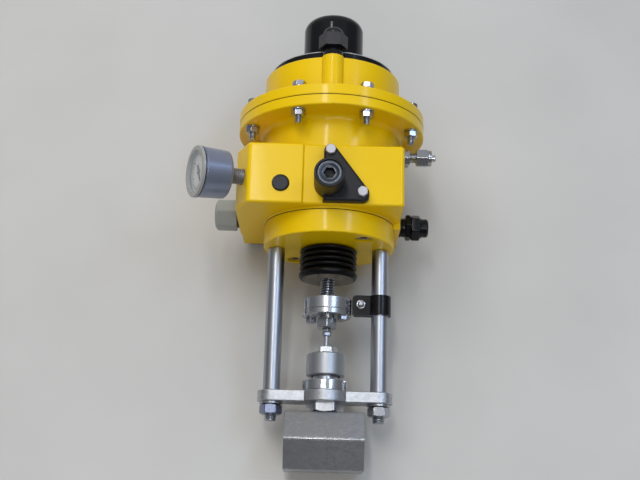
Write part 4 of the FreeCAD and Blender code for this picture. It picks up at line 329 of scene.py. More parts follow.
# Nodes that keep their CAD shape
DRESS = (
    (PAINT, ["bottom_flange", "lower_casing", "upper_casing"]),
    (GLOSS_BLACK, ["top_plate", "cap", "vent_body"]),
    (VENT_PLASTIC, ["vent_cap"]),
    (BLACK_PAINT, ["rear_cover", "adjuster_bracket"]),
    (BLACK_PLASTIC, ["indicator_clamp", "positioner_module"]),
    (CAST_STEEL, ["yoke_bar"]),
    (GROUND, ["valve_stem"]),
    (TURNED, ["seat_ring"]),
    (ZINC, ["diaphragm_nut", "stop_screw", "stop_nut"]),
    (RUBBER, ["spindle_seal", "diaphragm"]),
    (BRONZE, ["spindle_bush"]),
    (PACKING, ["packing_rings"]),
    (ALUMINIUM, ["diaphragm_plate"]),
    (SPRING, ["range_spring"]),
)
for material, names in DRESS:
    for name in names:
        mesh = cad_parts[name].data
        mesh.materials.clear()
        mesh.materials.append(material)


# Forms
UPRIGHT = Matrix.Identity(4)
ROUND_STEP = 12
LONG_SIDE = 1.2
EDGE_MARGIN = 0.25
RINGS_PER_PITCH = 8
FLANK_SHARE = 0.72


def link_object(name, data):
    """A new object in the scene, with this mesh, camera or lamp."""
    made = bpy.data.objects.new(name, data)
    bpy.context.scene.collection.objects.link(made)
    return made


def placed(base, axis=(0, 0, 1), first=(1, 0, 0)):
    """A frame at base whose Z runs along axis and whose X lies nearest to first."""
    z = Vector(axis).normalized()
    x = Vector(first)
    x = (x - z * x.dot(z)).normalized()
    y = z.cross(x)
    b = Vector(base)
    return Matrix(((x.x, y.x, z.x, b.x), (x.y, y.y, z.y, b.y), (x.z, y.z, z.z, b.z), (0, 0, 0, 1)))


def polar(angle, radius=1.0, height=0.0):
    """The point at this angle in degrees, or the direction to it."""
    a = math.radians(angle)
    return (radius * math.cos(a), radius * math.sin(a), height)


def steps(count):
    """Equal steps around a circle, as angles."""
    return [2 * math.pi * i / count for i in range(count)]


def ring(angles, radii, heights):
    """Points around an axis. One radius or one height may hold for all of them."""
    if isinstance(radii, (int, float)):
        radii = [radii] * len(angles)
    if isinstance(heights, (int, float)):
        heights = [heights] * len(angles)
    return [(r * math.cos(a), r * math.sin(a), z) for a, r, z in zip(angles, radii, heights)]


def raised(level, profile):
    """A profile whose heights are counted from this level."""
    return [(across, level + height, *rest) for across, height, *rest in profile]


class Shape:
    """Faces of several forms that become one piece. A face's spot is its material's number."""

    def __init__(self):
        self.points = []
        self.faces = []
        self.spots = []

    def face(self, corners, spot):
        self.faces.append(corners)
        self.spots.append(spot)

    def loft(self, rings, place=UPRIGHT, ends=(True, True), around=False, spot=0):
        """A skin over rings of equally many points. Around joins the last ring to the first."""
        start = len(self.points)
        count = len(rings[0])
        for points in rings:
            self.points += [place @ Vector(p) for p in points]
        loops = len(rings) if around else len(rings) - 1
        for i in range(loops):
            a = start + i * count
            b = start + (i + 1) % len(rings) * count
            for j in range(count):
                k = (j + 1) % count
                self.face([a + j, a + k, b + k, b + j], spot)
        if not around and ends[0]:
            self.face([start + j for j in reversed(range(count))], spot)
        if not around and ends[1]:
            last = start + (len(rings) - 1) * count
            self.face([last + j for j in range(count)], spot)

    def turn(self, profile, place=UPRIGHT, segments=96, around=False, spot=0, ends=(True, True)):
        """A form turned from (radius, height) points."""
        angles = steps(segments)
        self.loft([ring(angles, r, z) for r, z in profile], place, ends, around, spot)

    def hoop(self, corners, place=UPRIGHT, segments=96, spot=0):
        """A closed ring, turned from soft corners."""
        self.turn(soft(corners, True), place, segments, True, spot)

    def build(self, name, finishes, node=None, body="frame", bevel=0.0, sharp=32.0, weld=1e-4):
        """The piece, riding on its body in place of its CAD node."""
        mesh = bpy.data.meshes.new(name)
        mesh.from_pydata([p * MM for p in self.points], [], self.faces)
        mesh.polygons.foreach_set("material_index", self.spots)
        bm = bmesh.new()
        bm.from_mesh(mesh)
        bmesh.ops.remove_doubles(bm, verts=bm.verts, dist=weld * MM)
        bmesh.ops.dissolve_degenerate(bm, edges=bm.edges, dist=weld * MM)
        bmesh.ops.recalc_face_normals(bm, faces=bm.faces)
        if bevel:
            steep = math.radians(40)
            edges = [e for e in bm.edges if len(e.link_faces) == 2 and e.calc_face_angle(0) > steep]
            bmesh.ops.bevel(bm, geom=edges, offset=bevel * MM, segments=2, profile=0.6, affect="EDGES",
                            clamp_overlap=True)
        for face in bm.faces:
            face.smooth = True
        for edge in bm.edges:
            edge.smooth = len(edge.link_faces) == 2 and edge.calc_face_angle(0) < math.radians(sharp)
        bm.to_mesh(mesh)
        bm.free()
        made = link_object(name, mesh)
        for material in finishes:
            mesh.materials.append(material)
        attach(made, body)
        if node:
            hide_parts(node)
        return made


def soft(points, around=False):
    """Turned profile whose corners (radius, height, round) are rounded by their third number."""
    out = []
    count = len(points)
    for i, point in enumerate(points):
        here = Vector(point[:2])
        radius = point[2] if len(point) > 2 else 0
        if not radius or (not around and i in (0, count - 1)):
            out.append(tuple(here))
            continue
        before = Vector(points[i - 1][:2])
        after = Vector(points[(i + 1) % count][:2])
        a = (before - here).normalized()
        b = (after - here).normalized()
        angle = a.angle(b)
        cut = radius / math.tan(angle / 2)
        centre = here + (a + b).normalized() * (radius / math.sin(angle / 2))
        start = here + a * cut - centre
        if (before - here).length > cut + LONG_SIDE:
            out.append(tuple(here + a * (cut + EDGE_MARGIN)))
        turn = math.pi - angle
        way = 1 if a.x * b.y - a.y * b.x < 0 else -1
        parts = max(2, int(math.degrees(turn) / ROUND_STEP) + 1)
        for k in range(parts + 1):
            t = way * turn * k / parts
            x = start.x * math.cos(t) - start.y * math.sin(t)
            y = start.x * math.sin(t) + start.y * math.cos(t)
            out.append(tuple(centre + Vector((x, y))))
        if (after - here).length > cut + LONG_SIDE:
            out.append(tuple(here + b * (cut + EDGE_MARGIN)))
    return out


def hex_reach(angle, across, worn=0.985):
    """Distance from a hexagon's middle to its side. A corner lies at angle 0, and worn trims it."""
    sector = (angle + 1e-9) % (math.pi / 3) - math.pi / 6
    return min(across / 2 / math.cos(sector), across / math.sqrt(3) * worn)


# Angles around a hexagon, closest together at its corners
HEX_STEPS = []
for corner in range(6):
    for part in (-6, -3, 0, 3, 6, 10, 15, 20, 25, 30, 35, 40, 45, 50):
        HEX_STEPS.append(math.radians(60 * corner + part))


def hex_rings(levels):
    """Rings with a hexagon's steps, through (radii, heights) levels."""
    return [ring(HEX_STEPS, radii, heights) for radii, heights in levels]


def hexagon(shape, across, height, place, hole=0.0, low=True, high=True, spot=0, face=0.93, slope=0.55):
    """A hexagon, chamfered at its ends from a round face, which is a share of its width."""
    flat = across / 2 * face
    reach = [hex_reach(a, across) for a in HEX_STEPS]
    cut = [(r - flat) * slope for r in reach]
    levels = [(reach, cut if low else 0), (reach, [height - c for c in cut] if high else height)]
    if low:
        levels.insert(0, (flat, 0))
    if high:
        levels.append((flat, height))
    if hole:
        levels = [(hole, 0), *levels, (hole, height)]
    shape.loft(hex_rings(levels), place, around=bool(hole), spot=spot)


def screw_rings(pitch, low, high, segments, radius_at):
    """Rings along a helix. radius_at takes the way from the crest, 0 to 1, and the height."""
    count = max(4, int((high - low) / pitch * RINGS_PER_PITCH))
    angles = steps(segments)
    rings = []
    for i in range(count + 1):
        z = low + (high - low) * i / count
        radii = []
        for a in angles:
            phase = (z / pitch - a / (2 * math.pi)) % 1
            radii.append(radius_at(abs(2 * phase - 1), z))
        rings.append(ring(angles, radii, z))
    return rings


def groove(from_crest, crest_share):
    """How far a thread's flank has gone down, 0 at its crest and 1 at its root."""
    return min(1, max(0, (from_crest - crest_share) / FLANK_SHARE))


def thread(shape, radius, pitch, low, high, place=UPRIGHT, depth=None, chamfer=(0, 0), segments=48,
           root=None):
    """A screw thread between two heights. Its roots may have a spot of their own, for a darker painted
    shade.
    """
    depth = depth or 0.6 * pitch
    least = radius - depth * 1.1

    def radius_at(from_crest, z):
        r = radius - depth * groove(from_crest, 0.12)
        if chamfer[0]:
            r = min(r, max(least, radius - chamfer[0] + (z - low)))
        if chamfer[1]:
            r = min(r, max(least, radius - chamfer[1] + (high - z)))
        return r

    first = len(shape.faces)
    rings = screw_rings(pitch, low, high, segments, radius_at)
    shape.loft(rings, place)
    # Root faces take the darker painted shade
    if root is not None:
        for i, points in enumerate(rings[:-1]):
            for j, (x, y, _) in enumerate(points):
                if math.hypot(x, y) < radius - 0.45 * depth:
                    shape.spots[first + i * segments + j] = root


def inner_thread(shape, radius, pitch, low, high, place, depth=0.95):
    """A port's thread, whose crests stand at this radius and which fades out at its high end."""
    def radius_at(from_crest, z):
        return radius + depth * groove(from_crest, 0.14) * min(1, (high - z) / pitch)

    shape.loft(screw_rings(pitch, low, high, 72, radius_at), place, ends=(False, False), spot=1)


def notched(radius, slots, width, depth):
    """Outline of a disc with square slots at these angles in degrees, as angles and radii."""
    half = width / 2
    floor = radius - depth
    lip = math.asin(half / radius)
    corner = math.atan2(half, floor)
    reach = math.hypot(floor, half)
    parts = 36
    middles = sorted(math.radians(s) % (2 * math.pi) for s in slots)
    out = []
    for i, m in enumerate(middles):
        after = middles[i + 1] if i + 1 < len(middles) else middles[0] + 2 * math.pi
        out += [(m - lip, radius), (m - corner, reach), (m, floor), (m + corner, reach), (m + lip, radius)]
        span = after - m - 2 * lip
        out += [(m + lip + span * k / parts, radius) for k in range(1, parts)]
    return zip(*out)


def disc(shape, outline, levels):
    """A disc with an outline of angles and radii, through (inset, height) levels."""
    angles, radii = outline
    shape.loft([ring(angles, [r - inset for r in radii], height) for inset, height in levels])


def socket_screw(shape, place, radius, height, socket, depth, round_off=0.5):
    """A socket screw's head that faces +Z, with its foot at the frame's origin."""
    reach = [hex_reach(a, socket, 1.0) for a in HEX_STEPS]
    parts = 4
    levels = [(radius, 0)]
    for k in range(parts + 1):
        t = math.radians(90 * k / parts)
        levels.append((radius - round_off * (1 - math.cos(t)), height - round_off + round_off * math.sin(t)))
    low = height - depth
    levels += [([r * 1.06 for r in reach], height), (reach, height - 0.2), (reach, low),
               ([r * 0.05 for r in reach], low - socket * 0.12)]
    shape.loft(hex_rings(levels), place)


# Pieces
def casing_fasteners():
    """Eight bolts through the casing joint, each with two washers and a nut."""
    radius = 3.0
    across = 10.0
    head_height = 4.2
    nut_height = 4.8
    washer_height = 1.5
    head_low = JOINT_TOP + washer_height
    washer_low = JOINT_LOW - washer_height
    nut_low = washer_low - nut_height
    bolt_end = nut_low - 5.8
    washer = [(3.3, 0, 0.1), (6.0, 0, 0.35), (6.0, washer_height, 0.35), (3.3, washer_height, 0.1)]
    heads = Shape()
    nuts = Shape()
    washers = Shape()
    turns = ((14, 40), (49, 8), (30, 22), (6, 51), (38, 18), (4, 2), (56, -5), (44, 14))
    for i, (head_turn, nut_turn) in enumerate(turns):
        x, y, _ = polar(22.5 + 45 * i, JOINT_BOLT_CIRCLE)
        place = placed((x, y, 0))
        head = placed((x, y, head_low), first=polar(head_turn))
        hexagon(heads, across, head_height, head, low=False)
        heads.turn([(radius, nut_low - 0.5), (radius, head_low + 0.2)], place, 28)
        thread(heads, radius, 1.0, bolt_end, nut_low + 0.2, place, segments=28, chamfer=(0.6, 0))
        nut = placed((x, y, nut_low), first=polar(nut_turn))
        hexagon(nuts, across, nut_height, nut, hole=radius + 0.05)
        for level in (washer_low, JOINT_TOP):
            washers.hoop(washer, placed((x, y, level)), 40)
    heads.build("joint_screws", [ZINC], "casing_bolts")
    nuts.build("joint_nuts", [ZINC], "casing_nuts")
    washers.build("joint_washers", [ZINC], "casing_washers")


def joint_lips():
    """Painted lips of the casing flanges, with a narrow dark gap over the diaphragm's edge."""
    inner = JOINT_RADIUS - 1.5
    lips = Shape()
    for low, high in ((-1.1, -0.35), (0.35, 1.1)):
        corners = [(inner, low), (JOINT_RADIUS, low), (JOINT_RADIUS, high, 0.15), (inner, high)]
        lips.hoop(raised(JOINT_MIDDLE, corners), UPRIGHT, 160)
    lips.build("joint_flange_lips", [PAINT])


def flange_seam():
    """A black ring in the seam between the bottom flange and the casing's neck, a painted shade of the
    narrow gap there.
    """
    outer = FLANGE_RADIUS + 0.15
    inner = outer - 1.85
    seam = Shape()
    corners = [(inner, -0.25), (outer, -0.25, 0.1), (outer, 0.15), (inner, 0.15)]
    seam.hoop(raised(FLANGE_TOP, corners), UPRIGHT, 160)
    seam.build("flange_seam", [RUBBER])


def plate_edge():
    """A pale ring along the black top plate's upper edge, a painted highlight."""
    outer = PLATE_RADIUS + 0.05
    inner = outer - 0.85
    edge = Shape()
    corners = [(inner, -0.5), (outer, -0.5, 0.1), (outer, 0.12, 0.25), (inner, 0.12)]
    edge.hoop(raised(PLATE_TOP, corners), UPRIGHT, 160)
    edge.build("top_plate_edge", [PLATE_EDGE_HIGHLIGHT])


def yoke_fasteners():
    """Nuts, washers and stud ends under the yoke bar, and the pillars above it."""
    washer_low = BAR_LOW - 2.0
    nut_height = 8.0
    washer = raised(washer_low, [(5.2, 0, 0.15), (9.5, 0, 0.5), (9.5, 2.0, 0.2), (5.2, 2.0, 0.1)])
    column = soft([(0, BAR_TOP), (6.3, BAR_TOP, 0.1), (7.0, BAR_TOP + 0.7, 0.3),
                   (7.0, FLANGE_LOW - 0.6, 0.3), (6.4, FLANGE_LOW, 0.1), (0, FLANGE_LOW)])
    nuts = Shape()
    washers = Shape()
    pillars = Shape()
    for side in (-1, 1):
        x = side * PILLAR_X
        place = placed((x, 0, 0))
        nut = placed((x, 0, washer_low - nut_height))
        hole = STUD_RADIUS + 0.1
        # The left nut gets the blue-tinted steel, a painted reflection of the blue window light
        hexagon(nuts, 16.0, nut_height, nut, hole=hole, face=0.9, slope=0.62, spot=int(side < 0))
        washers.hoop(washer, place, 64)
        pillars.turn(column, place)
        pillars.turn([(STUD_RADIUS, washer_low), (STUD_RADIUS, BAR_TOP + 0.2)], place, 40)
        pillars.turn([(STUD_RADIUS, FLANGE_LOW - 0.2), (STUD_RADIUS, FLANGE_LOW + 13.8)], place, 40)
        thread(pillars, STUD_RADIUS, 1.5, washer_low - 13.0, washer_low + 0.4, place, chamfer=(1.0, 0),
               segments=56)
    nuts.build("yoke_nut_pair", [ZINC, ZINC_BLUE_REFLECTION], "yoke_nuts")
    washers.build("yoke_washer_pair", [ZINC], "yoke_washers")
    pillars.build("pillar_pair", [GROUND], "pillars")


def bonnet():
    """Bonnet with its hexagon, its thread's cylinder and its neck."""
    shape = Shape()
    hexagon(shape, 27.0, BAR_LOW - BODY_TOP, placed((0, 0, BODY_TOP)), high=False, face=0.965)
    neck = [(12.0, 0.0), (12.0, 17.4), (11.4, 18.4), (10.25, 18.6), (10.25, 22.4)]
    shape.turn(raised(BAR_LOW, neck))
    shape.turn(raised(BODY_TOP, [(10.9, -12.0), (10.9, 0.1)]), UPRIGHT, 64)
    shape.build("bonnet_turned", [TURNED], "bonnet")


def slotted_nut():
    """Round nut with six slots over the yoke bar."""
    shape = Shape()
    outline = notched(19.0, [60 * i - 95.4 for i in range(6)], 4.0, 2.2)
    levels = [(0.5, 0.0), (0.2, 0.15), (0.0, 0.5), (0.0, 0.8), (0.0, 7.7), (0.0, 8.0), (0.2, 8.4),
              (0.6, 8.6), (3.5, 8.6)]
    disc(shape, outline, raised(BAR_TOP, levels))
    shape.build("slotted_ring_nut", [POLISHED], "slotted_nut")


def packing_nut():
    """Plain round packing nut, and the gland screw on top of it."""
    shape = Shape()
    profile = [(12.0, 0, 0.2), (15.2, 0, 0.3), (15.85, 0.6, 0.4), (15.85, 17.3, 0.8), (15.0, 18.1, 0.4),
               (6.1, 18.1, 0.3), (6.1, 14.2), (12.0, 14.2)]
    shape.hoop(raised(PACKING_NUT_LOW, profile), UPRIGHT, 120)
    shape.build("packing_cap_nut", [SATIN], "packing_nut")

    gland = Shape()
    hole = 2.1
    hexagon(gland, 17.0, 6.0, placed((0, 0, PACKING_NUT_TOP)), hole=hole, low=False, slope=0.5)
    nose = [(hole, -9.4), (6.0, -9.4), (6.0, 0.2), (hole, 0.2)]
    gland.hoop(raised(PACKING_NUT_TOP, nose), UPRIGHT, 48)
    gland.build("gland_hexagon", [TURNED], "gland_screw")


def stem_nuts():
    """Two jam nuts, and the adapter under the coupling."""
    nuts = Shape()
    for i, turn in enumerate((10, 38)):
        place = placed((0, 0, JAM_NUTS_LOW + 3.0 * i), first=polar(turn))
        hexagon(nuts, 7.0, 2.95, place, hole=2.02, face=0.92)
    nuts.build("jam_nut_pair", [ZINC], "jam_nuts", "stem")

    adapter = Shape()
    hole = 2.05
    hexagon(adapter, 16.0, 8.2, placed((0, 0, ADAPTER_LOW), first=(0, -1, 0)), hole=hole)
    collar = [(hole, -1.6), (7.6, -1.6, 0.1), (7.6, 0.0, 0.2), (hole, 0.0)]
    adapter.hoop(raised(COUPLING_LOW, collar), UPRIGHT, 64)
    adapter.build("stem_adapter_hexagon", [TURNED], "stem_adapter", "stem")


def coupling():
    """Two slotted coupling discs, and their screws' heads."""
    discs = (
        ("lower", COUPLING_LOW, [(4.0, 0.0), (0.6, 0.0), (0.25, 0.15), (0.0, 0.5), (0.0, 0.8), (0.0, 3.9),
                                 (0.0, 4.2), (0.1, 4.45), (0.35, 4.58)]),
        ("upper", COUPLING_SPLIT, [(0.35, 0.02), (0.1, 0.15), (0.0, 0.4), (0.0, 0.7), (0.0, 9.1), (0.0, 9.4),
                                   (0.2, 9.75), (0.6, 9.9), (4.0, 9.9)]),
    )
    for part, level, levels in discs:
        shape = Shape()
        disc(shape, notched(COUPLING_RADIUS, (-30, 90, 210), 3.0, 2.0), raised(level, levels))
        shape.build("coupling_disc_" + part, [TURNED], "coupling_" + part, "stem")

    screws = Shape()
    head_height = 3.5
    for angle in (-28, 152):
        place = placed(polar(angle, 14.6, COUPLING_LOW - head_height), first=(0.9, 0.3, 0))
        hexagon(screws, 8.0, head_height, place, high=False, face=0.92)
    screws.build("coupling_screws", [ZINC], "coupling_bolts", "stem")


def spindle():
    """Threaded spindle, with a plain shaft and a collar under the diaphragm's plate. Its thread's roots are
    painted darker, a painted shade.
    """
    thread_low = 131.5
    thread_top = 171.0
    depth = 1.1
    radius = 6.0
    shape = Shape()
    thread(shape, radius, 2.2, thread_low, thread_top, depth=depth, segments=64, root=1)
    shaft = [(radius - depth, thread_top - 0.1), (radius, thread_top + 0.9), (radius, SPINDLE_COLLAR_LOW)]
    shape.turn(shaft, UPRIGHT, 64)
    collar = [(0, 0), (12.0, 0, 0.3), (12.0, 2.5, 0.3), (0, 2.5)]
    shape.turn(soft(raised(SPINDLE_COLLAR_LOW, collar)), UPRIGHT, 64)
    shape.turn(raised(SPINDLE_COLLAR_LOW, [(radius, 2.4), (radius, 19.1), (5.2, 19.8)]), UPRIGHT, 64)
    shape.build("threaded_spindle", [SCREWED, THREAD_ROOT_SHADE], "spindle", "stem")


def bellows():
    """Rubber bellows with a large lowest fold and a hollow underside. The real one shortens as the stem
    rises, while this piece keeps its shape.
    """
    fold = 4.7
    lowest_fold = 7.3
    reach = 24.0
    lowest_reach = 24.4
    valley = 20.6
    lip = 21.4
    roundness = 0.55
    parts = 14
    shape = Shape()
    # The hollow underside is pale grey-brown, a painted reflection of the floor's light
    under = [(6.1, 4.4), (6.1, 0.4, 0.3), (7.8, 0.4, 0.6), (8.3, 4.8, 0.6), (18.6, 4.4, 1.5),
             (20.2, 1.0, 0.8), (lip, 0.1)]
    shape.turn(soft(raised(BELLOWS_LOW, under)), UPRIGHT, 120, ends=(False, False), spot=1)
    folds = [(BELLOWS_LOW, lowest_fold, lowest_reach)]
    folds += [(BELLOWS_LOW + lowest_fold + fold * i, fold, reach) for i in range(4)]
    profile = []
    for low, height, crest in folds:
        for k in range(parts):
            t = k / parts
            root = lip if low == BELLOWS_LOW and t < 0.5 else valley
            profile.append((root + (crest - root) * math.sin(math.pi * t) ** roundness, low + height * t))
    profile[0] = (lip, BELLOWS_LOW + 0.1)
    profile += [(valley, FLANGE_LOW - 0.3), (20.0, FLANGE_LOW), (17.6, FLANGE_LOW), (17.6, FLANGE_LOW - 3.0)]
    shape.turn(profile, UPRIGHT, 120, ends=(False, False))
    made = shape.build("rubber_bellows", [RUBBER, RUBBER_FLOOR_REFLECTION], "bellows", sharp=70)
    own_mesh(made)


def flange_screws():
    """Two socket screws sunk in the bottom flange."""
    shape = Shape()
    for angle in (-50, 130):
        place = placed(polar(angle, 43.5, FLANGE_LOW + 9.5), axis=(0, 0, -1), first=(1, 0.2, 0))
        socket_screw(shape, place, 6.5, 8.0, 6.0, 4.0)
    shape.build("flange_socket_screws", [ZINC], "flange_screws")


def body():
    """Hexagonal bar body with threaded ports."""
    mouth_radius = 10.5
    thread_end = 14.0
    port_end = 16.0
    angles = steps(156)
    reach = [hex_reach(a, BODY_ACROSS, 0.993) for a in angles]

    def bar_ring(inset, level):
        return ring(angles, [r - inset for r in reach], level)

    near = [ring(angles, mouth_radius, -BODY_HALF)]
    far = [ring(angles, mouth_radius, BODY_HALF)]
    for inset, back in ((0.8, 0), (0.25, 0.25), (0, 0.8)):
        near.append(bar_ring(inset, back - BODY_HALF))
        far.insert(0, bar_ring(inset, BODY_HALF - back))
    shape = Shape()
    bar = placed((0, 0, PORT_LEVEL), axis=(1, 0, 0), first=(0, 1, 0))
    shape.loft(near + far, bar, ends=(False, False))
    for side in (-1, 1):
        mouth = placed((side * BODY_HALF, 0, PORT_LEVEL), axis=(-side, 0, 0), first=(0, 1, 0))
        shape.turn([(mouth_radius, 0.0), (9.9, 0.9)], mouth, 156, ends=(False, False), spot=1)
        inner_thread(shape, PORT_RADIUS, 1.8, 0.9, thread_end, mouth)
        port = [(PORT_RADIUS, thread_end), (PORT_RADIUS, port_end), (3.0, port_end), (3.0, 24.0)]
        shape.turn(port, mouth, 72, spot=1)
    shape.build("valve_body_bar", [BAR_STOCK, TURNED], "valve_body", weld=0.002)


def gauge_case(place):
    """The gauge's threaded stem and its tapered case with a seal."""
    stem = Shape()
    thread(stem, 6.5, 1.8, -9.0, 12.6, place, depth=0.45, segments=56, chamfer=(0.8, 0))
    stem.turn([(5.8, 12.5), (6.5, 12.9), (6.5, 14.2)], place, 56)
    stem.build("gauge_thread", [GAUGE_THREAD], "gauge_socket")

    case = Shape()
    profile = [(6.6, 12.0), (7.6, 12.0, 0.3), (8.6, 14.2, 0.3), (19.3, 14.2, 2.2), (20.5, 36.5, 0.2),
               (20.1, 36.8), (20.1, 37.3), (20.6, 37.6, 0.15), (20.6, 38.4), (19.0, 38.4), (19.0, 33.4),
               (0.0, 33.4), (0.0, 14.3), (6.6, 14.3)]
    case.hoop(profile, place, 128)
    seal = [(19.2, 37.8), (20.95, 37.8, 0.1), (20.95, 38.5, 0.1), (19.2, 38.5)]
    case.hoop(seal, place, 128, spot=1)
    case.build("gauge_housing", [GAUGE_CASE, RUBBER], "gauge_case")


def gauge_dial(place):
    """The dial with its pin, 51 marks over 270 degrees and a line around them."""
    face = 36.6
    marks = 51
    dial = Shape()
    dial.turn([(0, 33.4), (18.95, 33.4), (18.95, face), (0, face)], place)
    dial.turn([(0.8, face - 0.1), (0.8, 37.9), (0.5, 38.1)], place, 20)
    for i in range(marks):
        long = i % 10 == 0
        inner = 12.4 if long else 14.0
        half = 0.45 if long else 0.2
        radial = place @ placed((0, 0, face), first=polar(45 + 270 * i / (marks - 1)))
        mark = [(inner, -half), (15.0, -half), (15.0, half), (inner, half)]
        dial.loft([[(x, y, z) for x, y in mark] for z in (0.0, 0.08)], radial, spot=1)
    line = [(15.15, -0.02), (15.4, -0.02), (15.4, 0.08), (15.15, 0.08)]
    dial.hoop(raised(face, line), place, spot=1)
    dial.build("gauge_scale", [DIAL, INK], "gauge_dial")


def gauge_pointer():
    """The pointer, a flat blade with a hub."""
    low = 37.2
    pointer = Shape()
    aim = placed(GAUGE_FOOT, GAUGE_OUTWARD, POINTER_AIM)
    blade = [(-6.0, -1.3), (-6.0, 1.3), (0.0, 1.1), (13.0, 0.4), (13.0, -0.4), (0.0, -1.1)]
    pointer.loft([[(x, y, z) for x, y in blade] for z in (low, low + 0.5)], aim)
    hub = [(0.87, 0.0), (2.4, 0.0, 0.1), (2.4, 0.8, 0.4), (0.87, 0.8)]
    pointer.hoop(raised(low, hub), aim, 40)
    pointer.build("gauge_hand", [POINTER], "gauge_pointer", "pointer")


def gauge_window(place):
    """A clear cover with a thick, frosted rim."""
    window = Shape()
    rim = [(16.6, 38.45, 0.2), (21.0, 38.45, 0.2), (21.0, 40.1, 0.25), (20.4, 40.8, 0.25), (16.9, 40.8, 0.1),
           (16.6, 40.5, 0.1)]
    window.hoop(rim, place, 128)
    window.turn([(0, 39.4), (16.55, 39.4), (16.55, 40.3), (0, 40.3)], place, spot=1)
    window.build("gauge_cover", [FROSTED, CLEAR], "gauge_window")


def gauge():
    """Pressure gauge, whose heights are counted along its axis from the housing's slanted facet."""
    place = placed(GAUGE_FOOT, GAUGE_OUTWARD, (0, 0, 1))
    gauge_case(place)
    gauge_dial(place)
    gauge_pointer()
    gauge_window(place)


def left_gland():
    """Grey gland and its seal on the left wall, with a corner to the front."""
    place = placed(LEFT_GLAND_FOOT, (-1, 0, 0), (0, -1, 0))
    seal = Shape()
    seal.hoop([(7.45, 0.05), (10.5, 0.05, 0.2), (10.6, 1.55, 0.5), (7.45, 1.55)], place, 64)
    seal.build("grey_gland_seal", [RUBBER], "left_gland_seal")

    shape = Shape()
    neck = [(0, -5.5), (7.4, -5.5, 0.6), (7.4, 1.6), (9.6, 1.6, 0.2), (9.6, 2.4), (0, 2.4)]
    shape.turn(soft(neck), place, 64)
    high = place @ placed((0, 0, 2.2))
    hexagon(shape, 24.0, 18.6, high, face=0.835, slope=0.622, low=False)
    nose = [(0, 18.4), (7.6, 18.4), (7.6, 19.1, 0.4), (6.4, 19.1, 0.2), (6.0, 18.7), (0, 18.7)]
    shape.turn(soft(nose), high, 64)
    shape.build("grey_gland_hexagon", [GREY_PLASTIC], "left_gland", bevel=0.3)


def right_gland():
    """Black cable gland on the right wall, with a nut that has a ribbed nose."""
    across = 20.0
    place = placed(RIGHT_GLAND_FOOT, (1, 0, 0), (0, 0, 1))
    base = Shape()
    neck = [(0, -5.5), (7.4, -5.5, 0.5), (7.4, 0.05), (8.2, 0.05, 0.2), (8.2, 2.4, 0.3), (7.7, 2.7),
            (7.7, 3.4), (8.2, 3.7, 0.3), (8.2, 6.5), (0, 6.5)]
    base.turn(soft(neck), place, 64)
    hexagon(base, across, 4.6, place @ placed((0, 0, 6.4), first=polar(30)), face=0.95, slope=0.4)
    base.build("black_gland_body", [BLACK_PLASTIC], "right_gland_body")

    nut = Shape()
    start = place @ placed((0, 0, 11.0))
    hexagon(nut, across, 8.2, start)
    nose = [(0, 8.1), (8.8, 8.1, 0.2), (8.8, 9.2, 0.3), (8.0, 9.5), (8.0, 11.2, 0.2), (7.8, 11.5),
            (8.0, 11.8, 0.2), (8.0, 13.9, 0.8), (6.6, 15.2, 0.5), (3.6, 15.2, 0.3), (3.6, 12.0), (0, 12.0)]
    nut.turn(soft(nose), start, 72)
    nut.build("black_gland_nut", [BLACK_PLASTIC], "right_gland_nut", bevel=0.15)


def tube_fitting():
    """Compression fitting on the right wall, with its nut and the tube's end."""
    corner_turn = math.radians(17)
    nut_low = 12.0
    hole = TUBE_RADIUS + 0.05
    corner = (0, -math.cos(corner_turn), -math.sin(corner_turn))
    place = placed(TUBE_FITTING_FOOT, (1, 0, 0), corner)
    base = Shape()
    base.turn([(0, -9.0), (5.0, -9.0), (5.0, 0.1)], place, 48)
    hexagon(base, 12.0, 7.0, place)
    thread(base, 4.5, 1.1, 6.9, nut_low, place, depth=0.5)
    base.build("fitting_body_hexagon", [FITTING], "tube_fitting_body")

    nut = Shape()
    start = place @ placed((0, 0, nut_low))
    hexagon(nut, 14.0, 10.2, start, hole=hole, slope=0.5)
    collar = [(hole, 10.1), (6.4, 10.1), (6.7, 10.6, 0.2), (6.7, 11.5, 0.1), (6.35, 11.75), (6.7, 12.0, 0.1),
              (6.6, 13.0, 0.4), (4.2, 13.4, 0.3), (hole, 13.4)]
    nut.hoop(collar, start, 72)
    nut.build("fitting_nut_hexagon", [FITTING], "tube_nut")

    end = Shape()
    tube = [(2.0, 0.05), (TUBE_RADIUS, 0.05), (TUBE_RADIUS, 16.4, 0.25), (2.0, 16.4, 0.25)]
    end.hoop(tube, start, 48)
    end.build("fitting_tube_end", [POLISHED], "tube_stub")


def panel_plug():
    """Blanking plug in the front panel, with a dull grey face in a black chamfered rim. The rim's black is a
    painted shade of the gap around the plug.
    """
    shape = Shape()
    place = placed(PANEL_PLUG_FOOT, (0, -1, 0))
    profile = [(0, -6.0), (5.8, -6.0, 0.4), (5.8, 0.02), (7.0, 0.02), (7.0, 0.8, 0.3), (6.2, 1.3, 0.2),
               (5.5, 1.3)]
    shape.turn(soft(profile), place, 72, ends=(True, False))
    shape.turn([(5.5, 1.3), (5.5, 1.0), (0, 1.05)], place, 72, ends=(False, True), spot=1)
    shape.build("panel_plug", [BLACK_PLASTIC, PLUG_FACE_PLASTIC], "blanking_plug")


